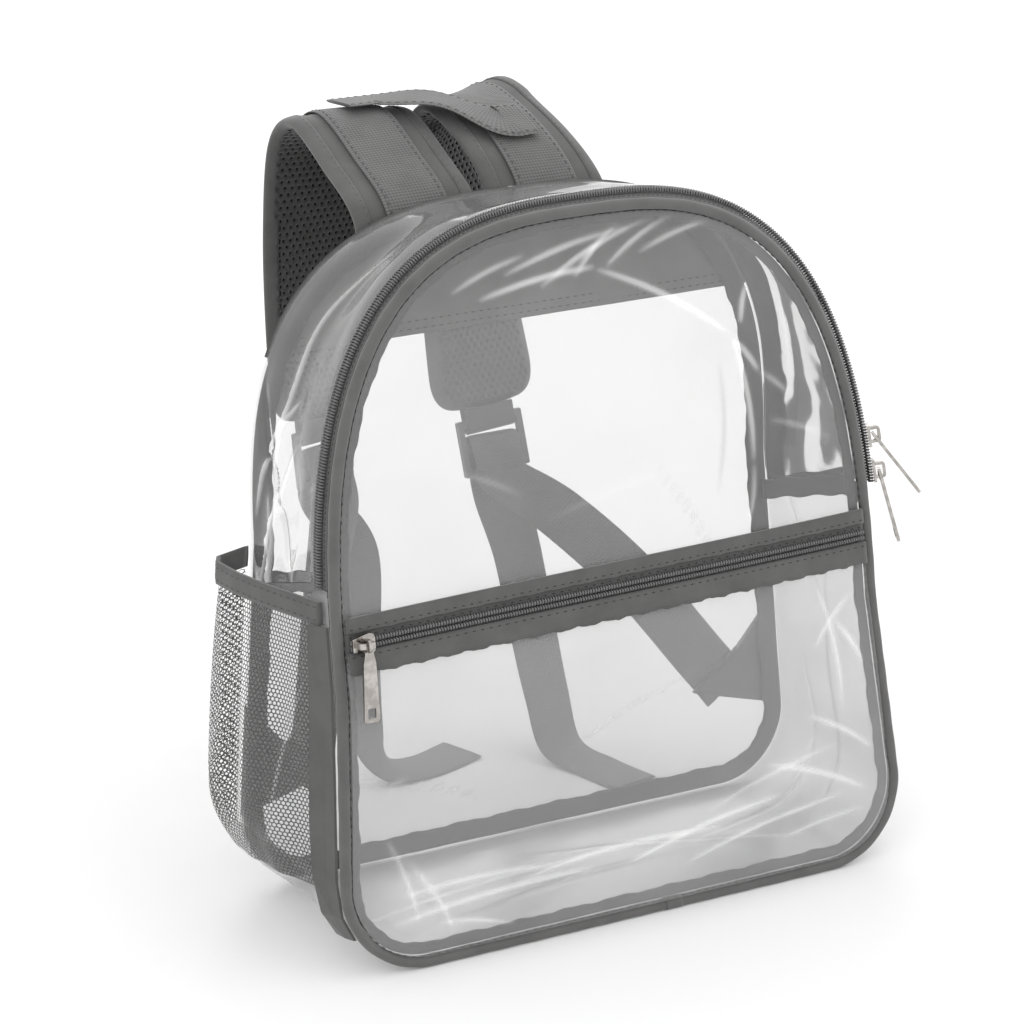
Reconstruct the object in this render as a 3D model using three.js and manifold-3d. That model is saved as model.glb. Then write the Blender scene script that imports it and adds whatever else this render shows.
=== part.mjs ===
// Clear stadium backpack, standing empty and closed on its base, in millimetres.
// X runs to the right of someone who faces the front, the front looks along -Y and +Z is up.
// The origin is the middle of the flat underside. The front panel leans back over a deep base.
import * as THREE from "three";
import { mergeVertices } from "three/addons/utils/BufferGeometryUtils.js";
import Module from "manifold-3d";

const wasm = await Module();
wasm.setup();

// Body
const frontHeight = 305;
const frontWidth = 260;
const frontFlare = 6;
const frontCorner = 38;
const frontSpring = 118;
const frontLean = 9.4;
const backHeight = 294;
const backNarrowing = 6;
const backWidth = frontWidth - backNarrowing;
const backFlare = 10;
const backCorner = 34;
const backSpring = 158;
const backLean = 2;
const archPower = 2.8;
const baseDepth = 102;
const vinyl = 1;
const clearance = 0.3;
const frontBulge = 5;
const backDish = 2;

// Bindings and piping
const pipingRadius = 2.4;
const frontBindingWidth = 4.5;
const bindingWidth = 9;
const bindingThickness = 1.2;
const yokeDrop = 58;
const yokeThickness = 1.6;

// Main zip, over the arch just behind the piping
const zipEndFront = 163;
const zipEndBack = 140;
const tapeWidth = 12.3;
const tapeThickness = 0.8;
const tapeShown = 3.5;
const coilWidth = 4.8;
const coilHeight = 2.2;
const zipRise = 5.3;
const zipSettle = 3.55;
const zipSway = 3.8;

// Front pocket
const pocketHeight = 134;
const pocketLift = 5.6;
const pocketBulge = 12;
const pocketTape = 15;
const pocketTopBinding = 6;
const pocketLowerBinding = 9;
const pocketSliderInset = 6;

// Sliders and pullers
const sliderLength = 10;
const sliderWidth = 8.6;
const sliderPlate = 1.2;
const bowHeight = 4.6;
const bowThickness = 1.3;
const bowWidth = 2.4;
const pullerLength = 33;
const pullerWidth = 7;
const pullerThickness = 1.4;
const pullerNeck = 5.6;
const pullerShoulder = 8.4;
const eyeLength = 4.4;
const eyeRoom = 0.9;
const lowerSliderAbove = 5.5;
const sliderSpacing = 15.5;
const upperPullerSlant = 28;
const lowerPullerSlant = 8;
const pocketPullerSlant = 4;

// Bottle pocket on the left side
const bottleTop = 156;
const bottleFoot = 18;
const bottleRim = 9;
const bottleReach = 26;
const netThickness = 1;

// Straps
const strapSpacing = 62;
const strapWidth = 58;
const strapNarrowing = 0.1;
const strapReach = 96;
const padThickness = 5.5;
const liningThickness = 1.5;
const webbingThickness = 1.4;
const strapWebbing = 30;
const lowerWebbing = 25;
const adjusterWidth = 33;
const adjusterLength = 26;
const adjusterThickness = 3;
const adjusterBar = 3.5;
const hangLoop = 5;
const tabThickness = 2.4;
const tabHigh = 84;
const tabMiddle = 55;
const tabLow = 13;
const tabInset = 2;
const tabReach = 33;
const tabSlant = 37;
const webbingRoot = 13;
const handleWidth = 25;
const handleRise = 5;
const handleLeftShare = 0.385;
const handleRightShare = 0.27;

const halfDepth = baseDepth / 2;
const radians = THREE.MathUtils.degToRad;
const vector = (x, y, z) => new THREE.Vector3(x, y, z);

// Outlines
// Right half of a panel's outline: flat foot, round corner, side that narrows upwards, full arch.
function panelOutline({ width, flare, height, corner, spring }) {
  const half = width / 2;
  const foot = half + flare;
  const path = [[0, 0]];
  for (let i = 0; i <= 24; i++) {
    const turn = radians(-90 + (90 * i) / 24);
    path.push([foot - corner + corner * Math.cos(turn), corner + corner * Math.sin(turn)]);
  }
  for (let i = 0; i <= 160; i++) {
    const turn = radians((90 * i) / 160);
    const across = Math.pow(Math.max(Math.cos(turn), 0), 2 / archPower);
    const up = Math.pow(Math.sin(turn), 2 / archPower);
    path.push([half * across, spring + (height - spring) * up]);
  }
  const lengths = [0];
  for (let i = 1; i < path.length; i++) {
    const [x, v] = path[i - 1];
    lengths.push(lengths[i - 1] + Math.hypot(path[i][0] - x, path[i][1] - v));
  }
  return { path, lengths, total: lengths[lengths.length - 1], cornerStart: lengths[1], cornerEnd: lengths[25] };
}

// Point and outward direction at a length along the right half, from the middle of the foot.
function outlinePoint(outline, length) {
  const { path, lengths, total } = outline;
  const spot = (s) => {
    const t = Math.min(Math.max(s, 0), total);
    let i = 1;
    while (i < lengths.length - 1 && lengths[i] < t) i++;
    const share = (t - lengths[i - 1]) / Math.max(lengths[i] - lengths[i - 1], 1e-9);
    const from = path[i - 1];
    const to = path[i];
    return [from[0] + (to[0] - from[0]) * share, from[1] + (to[1] - from[1]) * share];
  };
  const [x, v] = spot(length);
  const step = total / 150;
  const before = spot(length - step);
  const after = spot(length + step);
  if (length - step < 0) before[0] = -spot(step - length)[0];
  if (length + step > total) after[0] = -spot(2 * total - length - step)[0];
  const run = Math.hypot(after[0] - before[0], after[1] - before[1]);
  return { x, v, nx: (after[1] - before[1]) / run, nv: -(after[0] - before[0]) / run };
}

// Length along the right half at which the side reaches a height.
function lengthAtHeight(outline, height) {
  const { path, lengths } = outline;
  let i = 2;
  while (i < path.length - 1 && path[i][1] < height) i++;
  const share = (height - path[i - 1][1]) / (path[i][1] - path[i - 1][1]);
  return lengths[i - 1] + (lengths[i] - lengths[i - 1]) * Math.min(Math.max(share, 0), 1);
}

const frontOutline = panelOutline({
  width: frontWidth,
  flare: frontFlare,
  height: frontHeight,
  corner: frontCorner,
  spring: frontSpring,
});
const backOutline = panelOutline({
  width: backWidth,
  flare: backFlare,
  height: backHeight,
  corner: backCorner,
  spring: backSpring,
});
frontOutline.zipEnd = lengthAtHeight(frontOutline, zipEndFront);
backOutline.zipEnd = lengthAtHeight(backOutline, zipEndBack);

const mirrored = (p) => ({ x: -p.x, v: p.v, nx: -p.nx, nv: p.nv });

// Evenly spaced stations along the right half, from one length to another.
function stretch(outline, from, to, steps) {
  return Array.from({ length: steps + 1 }, (_, i) => outlinePoint(outline, from + ((to - from) * i) / steps));
}

// Right half below the zip's end, foot first, and above it.
function lowerHalf(outline, gap = 0) {
  const { cornerStart, cornerEnd, zipEnd } = outline;
  return [
    ...stretch(outline, 0, cornerStart, 2),
    ...stretch(outline, cornerStart, cornerEnd, 5).slice(1),
    ...stretch(outline, cornerEnd, zipEnd - gap, 4).slice(1),
  ];
}
function upperHalf(outline, gap = 0, steps = 14) {
  return stretch(outline, outline.zipEnd + gap, outline.total, steps);
}

// Stations of the base strip from the left zip end under the foot to the right one,
// of the crown from the right zip end over the top to the left one, and of the whole loop.
function baseStations(outline, gap) {
  const right = lowerHalf(outline, gap);
  return [...right.slice(1).reverse().map(mirrored), ...right];
}
function crownStations(outline, gap, steps) {
  const right = upperHalf(outline, gap, steps);
  return [...right, ...right.slice(0, -1).reverse().map(mirrored)];
}
function loopStations(outline) {
  const right = [...lowerHalf(outline), ...upperHalf(outline).slice(1)];
  return [...right, ...right.slice(1, -1).reverse().map(mirrored)];
}

// Places on the leaning front plane, inset from the outline and shifted back, and on the back plane.
function onFront(p, inset = 0, behind = 0) {
  const v = p.v - p.nv * inset;
  const lean = radians(frontLean);
  return vector(p.x - p.nx * inset, -halfDepth + v * Math.sin(lean) + behind, v * Math.cos(lean));
}
function onBack(p, inset = 0, ahead = 0) {
  const v = p.v - p.nv * inset;
  const lean = radians(backLean);
  return vector(p.x - p.nx * inset, halfDepth + v * Math.sin(lean) - ahead, v * Math.cos(lean));
}

// How far the zip rises off the seam over its tape: less at the crown, and the slack bag sways it
// to the right. Then its lift on the way there, steepest beside the piping.
const tapeFront = pipingRadius + clearance;
const riseAt = (p) => zipRise - zipSettle * Math.max(p.nv, 0) + zipSway * p.nx;
function zipLift(behind, p) {
  const left = Math.max(1 - behind / (tapeFront + tapeWidth), 0);
  return riseAt(p) * (1 - left * left);
}
const plainPoint = (x, v) => ({ x, v, nx: 0, nv: 0 });
const backPlaneY = (z) => halfDepth + z * Math.tan(radians(backLean));

// How far the empty bag's front stands proud of its flat plane.
function frontProud(x, v) {
  const side = Math.max(1 - Math.pow((2 * x) / frontWidth, 2), 0);
  return frontBulge * side * Math.sin(Math.PI * Math.min(Math.max(v / frontHeight, 0), 1));
}

// Solids
// Geometry from vertices and faces, with its faces turned out.
function closedSolid(vertices, faces) {
  let volume = 0;
  for (const [a, b, c] of faces) {
    volume += vertices[a].dot(vertices[b].clone().cross(vertices[c]));
  }
  const index = faces.flatMap(([a, b, c]) => (volume > 0 ? [a, b, c] : [a, c, b]));
  const geometry = new THREE.BufferGeometry().setFromPoints(vertices);
  geometry.setIndex(index);
  return geometry;
}

// Solid through closed rings with as many points each: capped with fans, or closed round a loop.
// Facing sides of a ring are split along the same diagonal, so that twisted layers stay apart.
function loftRings(rings, loop = false) {
  const count = rings[0].length;
  const vertices = rings.flat();
  const faces = [];
  const last = loop ? rings.length : rings.length - 1;
  for (let i = 0; i < last; i++) {
    const near = i * count;
    const far = ((i + 1) % rings.length) * count;
    for (let j = 0; j < count; j++) {
      const k = (j + 1) % count;
      if (j < count / 2) faces.push([near + j, near + k, far + k], [near + j, far + k, far + j]);
      else faces.push([near + j, near + k, far + j], [near + k, far + k, far + j]);
    }
  }
  if (!loop) {
    const end = (rings.length - 1) * count;
    for (let j = 1; j < count - 1; j++) faces.push([0, j + 1, j], [end, end + j, end + j + 1]);
  }
  return closedSolid(vertices, faces);
}

// Sheet of even thickness about a grid of { point, normal } rows.
function thickSheet(grid, thickness) {
  const rows = grid.length;
  const columns = grid[0].length;
  const side = (sign) =>
    grid.flat().map(({ point, normal }) => point.clone().addScaledVector(normal, (sign * thickness) / 2));
  const vertices = [...side(1), ...side(-1)];
  const under = rows * columns;
  const at = (i, j) => i * columns + j;
  const faces = [];
  for (let i = 0; i < rows - 1; i++) {
    for (let j = 0; j < columns - 1; j++) {
      const [a, b, c, d] = [at(i, j), at(i, j + 1), at(i + 1, j + 1), at(i + 1, j)];
      faces.push([a, b, c], [a, c, d], [under + a, under + c, under + b], [under + a, under + d, under + c]);
    }
  }
  const rim = [];
  for (let j = 0; j < columns - 1; j++) rim.push(at(0, j));
  for (let i = 0; i < rows - 1; i++) rim.push(at(i, columns - 1));
  for (let j = columns - 1; j > 0; j--) rim.push(at(rows - 1, j));
  for (let i = rows - 1; i > 0; i--) rim.push(at(i, 0));
  rim.forEach((a, k) => {
    const b = rim[(k + 1) % rim.length];
    faces.push([a, under + a, under + b], [a, under + b, b]);
  });
  return closedSolid(vertices, faces);
}

// Sheet that fills an outline of { x, v } points drawn towards a middle point, placed by a function
// that takes x, v and a share of the thickness from -0.5 (outer side) to 0.5 (inner side).
function filledSheet(edge, middle, shares, place) {
  const layer = (depth) => [
    ...shares.flatMap((share) =>
      edge.map((p) => place(middle.x + (p.x - middle.x) * share, middle.v + (p.v - middle.v) * share, depth)),
    ),
    place(middle.x, middle.v, depth),
  ];
  const vertices = [...layer(-0.5), ...layer(0.5)];
  const count = edge.length;
  const under = shares.length * count + 1;
  const faces = [];
  for (let j = 0; j < count; j++) {
    const k = (j + 1) % count;
    for (let i = 0; i < shares.length - 1; i++) {
      const [a, b, c, d] = [i * count + j, i * count + k, (i + 1) * count + k, (i + 1) * count + j];
      faces.push([a, b, c], [a, c, d], [under + a, under + c, under + b], [under + a, under + d, under + c]);
    }
    const inner = (shares.length - 1) * count;
    faces.push([inner + j, inner + k, under - 1], [under + inner + k, under + inner + j, 2 * under - 1]);
    faces.push([j, under + k, k], [j, under + j, under + k]);
  }
  return closedSolid(vertices, faces);
}

// Smooth value of a table's column at a place between its rows (Catmull-Rom).
function columnAt(rows, column, place) {
  const i = Math.min(Math.floor(place), rows.length - 2);
  const f = place - i;
  const near = [Math.max(i - 1, 0), i, i + 1, Math.min(i + 2, rows.length - 1)];
  const [a, b, c, d] = near.map((k) => rows[k][column]);
  const bow = (2 * a - 5 * b + 4 * c - d) * f * f;
  const twist = (3 * b - a - 3 * c + d) * f * f * f;
  return 0.5 * (2 * b + (c - a) * f + bow + twist);
}

// Stations of a flat band along a route: centre, direction across, direction of travel, outward face.
// Each row has x, y, z, turn (heading of the direction across), roll (its tilt) and width.
function bandStations(rows, steps) {
  const spots = Array.from({ length: steps + 1 }, (_, i) => (i * (rows.length - 1)) / steps);
  const centres = spots.map((s) => vector(...["x", "y", "z"].map((column) => columnAt(rows, column, s))));
  return spots.map((s, i) => {
    const travel = centres[Math.min(i + 1, steps)].clone().sub(centres[Math.max(i - 1, 0)]).normalize();
    const turn = radians(columnAt(rows, "turn", s));
    const roll = radians(columnAt(rows, "roll", s));
    const across = vector(Math.cos(roll) * Math.cos(turn), Math.cos(roll) * Math.sin(turn), Math.sin(roll));
    across.addScaledVector(travel, -across.dot(travel)).normalize();
    const face = across.clone().cross(travel).normalize();
    return { centre: centres[i], across, travel, face, width: columnAt(rows, "width", s) };
  });
}

// Ring of a band's section at a station: chamfered rectangle, lifted along the outward face.
// Its two faces may be broken at a seam each side of the middle, to match a narrower layer.
function bandRing(station, { width, thickness, lift = 0, chamfer = 0, seam = 0 }) {
  const half = width / 2;
  const low = lift - thickness / 2;
  const high = lift + thickness / 2;
  const flat = half - chamfer;
  const breaks = seam ? [-flat, -Math.min(seam, flat * 0.9), Math.min(seam, flat * 0.9), flat] : [-flat, flat];
  const under = breaks.map((a) => [a, low]);
  const over = [...breaks].reverse().map((a) => [a, high]);
  const rightEdge = [
    [half, low + chamfer],
    [half, high - chamfer],
  ];
  const leftEdge = [
    [-half, high - chamfer],
    [-half, low + chamfer],
  ];
  const corners = chamfer ? [...under, ...rightEdge, ...over, ...leftEdge] : [...under, ...over];
  return corners.map(([sideways, off]) => {
    const point = station.centre.clone().addScaledVector(station.across, sideways);
    return point.addScaledVector(station.face, off);
  });
}

// A geometry as a solid that can be joined or cut, and back.
function asSolid(geometry) {
  const bare = new THREE.BufferGeometry().setAttribute("position", geometry.getAttribute("position"));
  if (geometry.index) bare.setIndex(geometry.index);
  const merged = mergeVertices(bare, 1e-4);
  return new wasm.Manifold(
    new wasm.Mesh({
      numProp: 3,
      vertProperties: new Float32Array(merged.attributes.position.array),
      triVerts: new Uint32Array(merged.index.array),
    }),
  );
}
function asGeometry(solid) {
  const mesh = solid.getMesh();
  const geometry = new THREE.BufferGeometry();
  geometry.setAttribute("position", new THREE.BufferAttribute(new Float32Array(mesh.vertProperties), 3));
  geometry.setIndex([...mesh.triVerts]);
  return geometry;
}

// Materials
const look = (colour, roughness, metalness = 0) =>
  new THREE.MeshStandardMaterial({ color: colour, roughness, metalness });
const clearVinyl = new THREE.MeshStandardMaterial({
  color: 0xe9ecee,
  roughness: 0.12,
  metalness: 0,
  transparent: true,
  opacity: 0.3,
});
const greyCloth = look(0x68696b, 0.85);
const greyWebbing = look(0x76777a, 0.8);
const darkMesh = look(0x46474a, 0.9);
const zipCoil = look(0x5a5b5e, 0.5);
const nickel = look(0xc9c4bd, 0.25, 1);
const greyPlastic = look(0x5f6063, 0.45);

const bag = new THREE.Group();
function piece(name, geometry, material) {
  const shown = geometry.index ? geometry.toNonIndexed() : geometry;
  shown.computeVertexNormals();
  const mesh = new THREE.Mesh(shown, material);
  mesh.name = name;
  bag.add(mesh);
  return mesh;
}

// Front: clear panel with a shallow bulge, round piping on the seam, flat binding behind it
const seamInset = 2 * pipingRadius + clearance;
const insetPoint = (p, inset) => ({ x: p.x - p.nx * inset, v: p.v - p.nv * inset });

function frontPanel() {
  const edge = loopStations(frontOutline).map((p) => insetPoint(p, seamInset));
  const middle = { x: 0, v: frontHeight / 2 };
  const place = (x, v, depth) => onFront(plainPoint(x, v), 0, depth * vinyl - frontProud(x, v));
  return filledSheet(edge, middle, [1, 0.72, 0.38], place);
}

function frontPiping() {
  const flat = radians(22.5);
  const ring = (p) =>
    Array.from({ length: 8 }, (_, k) => {
      const turn = flat + radians(45 * k);
      const inset = pipingRadius * (1 + Math.cos(turn) / Math.cos(flat));
      return onFront(p, inset, pipingRadius * Math.sin(turn));
    });
  return loftRings(loopStations(frontOutline).map(ring), true);
}

function seamBinding(outline, place, inset, near, width) {
  const far = near + bindingThickness;
  const ring = (p) => [
    place(p, inset, near),
    place(p, inset + width, near),
    place(p, inset + width, far),
    place(p, inset, far),
  ];
  return loftRings(loopStations(outline).map(ring), true);
}

piece("front_panel", frontPanel(), clearVinyl);
piece("front_piping", frontPiping(), greyCloth);
const frontBehind = vinyl / 2 + clearance;
const frontBinding = seamBinding(frontOutline, onFront, seamInset, frontBehind, frontBindingWidth);
piece("front_binding", frontBinding, greyCloth);

// Back: clear panel, cloth yoke over its top, flat binding on the seam inside
const backRim = loopStations(backOutline);
const yokeEdge = backHeight - yokeDrop;

// Part of the back's outline above or below a height, with the cut's two ends.
function backSection(keepAbove, height) {
  const ends = outlinePoint(backOutline, lengthAtHeight(backOutline, height));
  const kept = backRim.filter((p) => (keepAbove ? p.v > height + 1 : p.v < height - 1));
  const right = kept.filter((p) => p.x > 1e-6);
  const centre = { x: 0, v: keepAbove ? backHeight : 0 };
  const cut = [0.5, 0, -0.5].map((share) => ({ x: ends.x * share, v: height }));
  const rightEnd = { x: ends.x, v: height };
  const leftEnd = { x: -ends.x, v: height };
  const rightSide = keepAbove ? right : [...right].reverse();
  const leftSide = [...rightSide].reverse().map(mirrored);
  return [rightEnd, ...rightSide, centre, ...leftSide, leftEnd, ...cut.reverse()];
}

// How far the clear back dips inwards below the yoke.
function backHollow(x, v, height) {
  const side = Math.max(1 - Math.pow((2 * x) / backWidth, 2), 0);
  return backDish * side * Math.sin(Math.PI * Math.min(Math.max(v / height, 0), 1));
}

function backSheet(keepAbove, height, thickness) {
  const edge = backSection(keepAbove, height);
  const middle = { x: 0, v: keepAbove ? height + yokeDrop / 2 : height / 2 };
  const place = (x, v, depth) => onBack(plainPoint(x, v), 0, backHollow(x, v, height) + depth * thickness);
  return filledSheet(edge, middle, [1, 0.5], place);
}

piece("back_panel", backSheet(false, yokeEdge - clearance, vinyl), clearVinyl);
piece("back_yoke", backSheet(true, yokeEdge, yokeThickness), greyCloth);
const backAhead = yokeThickness / 2 + clearance;
const backBinding = seamBinding(backOutline, onBack, vinyl + clearance, backAhead, bindingWidth);
piece("back_binding", backBinding, greyCloth);

// Gussets: one clear strip over the arch behind the zip, one under the base and up both sides
// Each runs level from the front as far as the zip's tape reaches, its first column, then to the back.
const columnShares = [0, 0.1, 0.3, 0.52, 0.76, 1];
const crumples = [
  { along: 0.7, across: 0.45, spread: 0.07, deep: 5 },
  { along: 0.82, across: 0.6, spread: 0.06, deep: 4 },
  { along: 0.93, across: 0.4, spread: 0.06, deep: 3 },
  { along: 0.2, across: 0.55, spread: 0.08, deep: 2.5 },
];

function crumpleDepth(along, across) {
  const edge = Math.sin(Math.PI * Math.max((across - columnShares[1]) / (1 - columnShares[1]), 0));
  return crumples.reduce((sum, fold) => {
    const away = Math.hypot(along - fold.along, (across - fold.across) * 0.25) / fold.spread;
    return sum + fold.deep * edge * Math.exp(-away * away);
  }, 0);
}

function gusset(fronts, backs, frontStart, raised) {
  const grid = fronts.map((front, i) =>
    columnShares.map((share) => {
      const level = columnShares[1];
      const from = onFront(front, vinyl / 2, frontStart);
      const bend = onFront(front, vinyl / 2, levelEnd);
      const to = onBack(backs[i], vinyl / 2, backAhead);
      const past = share > level;
      const point = past ? bend.lerp(to, (share - level) / (1 - level)) : from.lerp(bend, share / level);
      const behind = frontStart + (levelEnd - frontStart) * (share / level);
      const lift = past ? riseAt(front) * (1 - share) : zipLift(behind, front);
      const normal = vector(
        front.nx + (backs[i].nx - front.nx) * share,
        0,
        front.nv + (backs[i].nv - front.nv) * share,
      ).normalize();
      if (raised) point.addScaledVector(normal, lift - crumpleDepth(i / (fronts.length - 1), share));
      return { point, normal };
    }),
  );
  return thickSheet(grid, vinyl);
}

const coilFront = tapeFront + tapeShown;
const levelEnd = tapeFront + tapeWidth + 2 * clearance;
const crownFront = coilFront + coilWidth + 4 * clearance;
const jointGap = clearance / 2;
const crownFronts = crownStations(frontOutline, jointGap);
const crownBacks = crownStations(backOutline, jointGap);
piece("top_gusset", gusset(crownFronts, crownBacks, crownFront, true), clearVinyl);
const baseFronts = baseStations(frontOutline, jointGap);
const baseBacks = baseStations(backOutline, jointGap);
piece("lower_gusset", gusset(baseFronts, baseBacks, tapeFront, false), clearVinyl);

// Flat binding inside each side, where the two gussets meet at the ends of the main zip. It runs
// level, then to the back, as they do.
function sideBinding(side) {
  const inner = vinyl + tapeThickness + 2 * clearance;
  const half = bindingWidth / 2;
  const edgeAt = (outline, length) => {
    const p = outlinePoint(outline, length);
    return side > 0 ? p : mirrored(p);
  };
  const section = [
    [-half, inner],
    [half, inner],
    [half, inner + bindingThickness],
    [-half, inner + bindingThickness],
  ];
  const ahead = backAhead + bindingThickness + clearance;
  const onLevel = (behind) =>
    section.map(([up, inset]) => onFront(edgeAt(frontOutline, frontOutline.zipEnd + up), inset, behind));
  const atBack = section.map(([up, inset]) => onBack(edgeAt(backOutline, backOutline.zipEnd + up), inset, ahead));
  const midway = onLevel(levelEnd).map((point, i) => point.lerp(atBack[i], 0.5));
  return loftRings([onLevel(tapeFront + bindingThickness), onLevel(levelEnd), midway, atBack]);
}
piece("side_binding_right", sideBinding(1), greyCloth);
piece("side_binding_left", sideBinding(-1), greyCloth);

// Main zip: tape under the vinyl's edge, coil raised along the gap
function crownStrip(section, steps) {
  const ring = (p) => section.map(([inset, behind]) => onFront(p, inset - zipLift(behind, p), behind));
  return loftRings(crownStations(frontOutline, jointGap, steps).map(ring));
}
const tapeInset = vinyl + 2 * clearance;
const coilMiddle = coilFront + coilWidth / 2;
const coilSection = (base, height, width, middle) =>
  [
    [0, -0.5],
    [0.55, -0.42],
    [1, -0.2],
    [1, 0.2],
    [0.55, 0.42],
    [0, 0.5],
  ].map(([up, across]) => [base - up * height, middle + across * width]);

const tapeColumns = [tapeFront, coilFront, coilMiddle, coilFront + coilWidth, tapeFront + tapeWidth];
const tapeSection = [
  ...tapeColumns.map((behind) => [tapeInset, behind]),
  ...[...tapeColumns].reverse().map((behind) => [tapeInset + tapeThickness, behind]),
];
piece("main_zip_tape", crownStrip(tapeSection, 14), greyCloth);
const coilBase = vinyl;
piece("main_zip_coil", crownStrip(coilSection(coilBase, coilHeight, coilWidth, coilMiddle), 16), zipCoil);

// Front pocket: strip of zip across the front, clear panel below it down to the seam
const layerOne = vinyl / 2 + clearance;
const layerTwo = layerOne + vinyl + clearance;
const frontHalfAt = (v) => outlinePoint(frontOutline, lengthAtHeight(frontOutline, v)).x - seamInset - clearance;

// How far the pocket panel stands proud of the panel behind it.
function pocketProud(x, v) {
  const side = Math.max(1 - Math.pow((2 * x) / frontWidth, 2), 0);
  return pocketBulge * Math.pow(side, 0.7) * Math.sin(Math.PI * Math.min(Math.max(v / pocketHeight, 0), 1));
}

// How much higher the pocket's top runs than at its left end.
const pocketLiftAt = (x) => pocketLift * (1 - Math.pow(0.5 - x / frontWidth, 3));

// Strip across the front between two heights, its layer given in front of the bulge.
function acrossFront(low, high, near, thickness) {
  const steps = 10;
  const ring = (i) => {
    const share = (2 * i) / steps - 1;
    const x = share * frontHalfAt((low + high) / 2 + pocketLift);
    const lift = pocketLiftAt(x);
    const at = (v, proud) =>
      onFront(plainPoint(x, v + lift), 0, -frontProud(x, v) - pocketProud(x, v) - proud);
    return [at(low, near), at(high, near), at(high, near + thickness), at(low, near + thickness)];
  };
  return loftRings(Array.from({ length: steps + 1 }, (_, i) => ring(i)));
}

const tapeLow = pocketHeight + clearance;
const tapeHigh = tapeLow + pocketTape;
const pocketCoilMiddle = tapeLow + pocketTape / 2 - 1;
piece("pocket_zip_tape", acrossFront(tapeLow, tapeHigh, layerOne, tapeThickness), greyCloth);
piece(
  "pocket_top_binding",
  acrossFront(tapeHigh - pocketTopBinding / 2, tapeHigh + pocketTopBinding / 2, layerTwo, bindingThickness),
  greyCloth,
);
piece(
  "pocket_lower_binding",
  acrossFront(
    tapeLow - pocketLowerBinding * 0.6,
    tapeLow + pocketLowerBinding * 0.4,
    layerTwo + clearance,
    bindingThickness,
  ),
  greyCloth,
);

function pocketCoil() {
  const steps = 10;
  const base = layerOne + tapeThickness + clearance;
  const ring = (i) => {
    const x = ((2 * i) / steps - 1) * frontHalfAt(pocketCoilMiddle + pocketLift);
    return coilSection(0, -coilHeight, coilWidth, pocketCoilMiddle + pocketLiftAt(x)).map(([up, v]) =>
      onFront(plainPoint(x, v), 0, -frontProud(x, pocketCoilMiddle) - base - up),
    );
  };
  return loftRings(Array.from({ length: steps + 1 }, (_, i) => ring(i)));
}
piece("pocket_zip_coil", pocketCoil(), zipCoil);

function pocketPanel() {
  const top = pocketHeight;
  const right = lowerHalf(frontOutline).map((p) => insetPoint(p, seamInset)).filter((p) => p.v < top - 3);
  const half = frontHalfAt(top + pocketLift);
  const cut = [1, 0.5, 0, -0.5, -1].map((share) => ({ x: half * share, v: top + pocketLiftAt(half * share) }));
  const edge = [...right, ...cut, ...right.slice(1).reverse().map((p) => ({ x: -p.x, v: p.v }))];
  const place = (x, v, depth) =>
    onFront(plainPoint(x, v), 0, (depth - 0.5) * vinyl - layerOne - frontProud(x, v) - pocketProud(x, v));
  return filledSheet(edge, { x: 0, v: top / 2 }, [1, 0.85, 0.6, 0.3], place);
}
piece("front_pocket_panel", pocketPanel(), clearVinyl);

// Sliders and pullers, built along X with the zip, Y across it and Z off its face
function sliderShape() {
  const plate = new THREE.Shape();
  const half = sliderWidth / 2;
  const nose = sliderLength / 2;
  plate.moveTo(-nose, -half * 0.62);
  plate.lineTo(nose * 0.45, -half);
  plate.quadraticCurveTo(nose, -half, nose, -half * 0.45);
  plate.lineTo(nose, half * 0.45);
  plate.quadraticCurveTo(nose, half, nose * 0.45, half);
  plate.lineTo(-nose, half * 0.62);
  plate.closePath();
  return new THREE.ExtrudeGeometry(plate, { depth: sliderPlate, bevelEnabled: false, curveSegments: 3 });
}

// Bow over the plate, under which a puller's bar or ring turns.
function sliderBow() {
  const reach = sliderLength * 0.36;
  const outer = new THREE.Shape();
  const foot = -sliderPlate / 2;
  const top = bowHeight;
  outer.moveTo(-reach, foot);
  outer.lineTo(reach, foot);
  outer.lineTo(reach, top * 0.6);
  outer.quadraticCurveTo(reach, top, reach * 0.45, top);
  outer.lineTo(-reach * 0.45, top);
  outer.quadraticCurveTo(-reach, top, -reach, top * 0.6);
  outer.closePath();
  const inner = new THREE.Path();
  const room = reach - bowThickness;
  inner.moveTo(-room, 0);
  inner.lineTo(-room, top - bowThickness);
  inner.lineTo(room, top - bowThickness);
  inner.lineTo(room, 0);
  inner.closePath();
  outer.holes.push(inner);
  const bow = new THREE.ExtrudeGeometry(outer, { depth: bowWidth, bevelEnabled: false, curveSegments: 4 });
  return bow.translate(0, 0, -bowWidth / 2).rotateX(Math.PI / 2).translate(0, 0, sliderPlate);
}

function slider() {
  const plate = asSolid(sliderShape());
  return asGeometry(plate.add(asSolid(sliderBow())));
}

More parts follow.
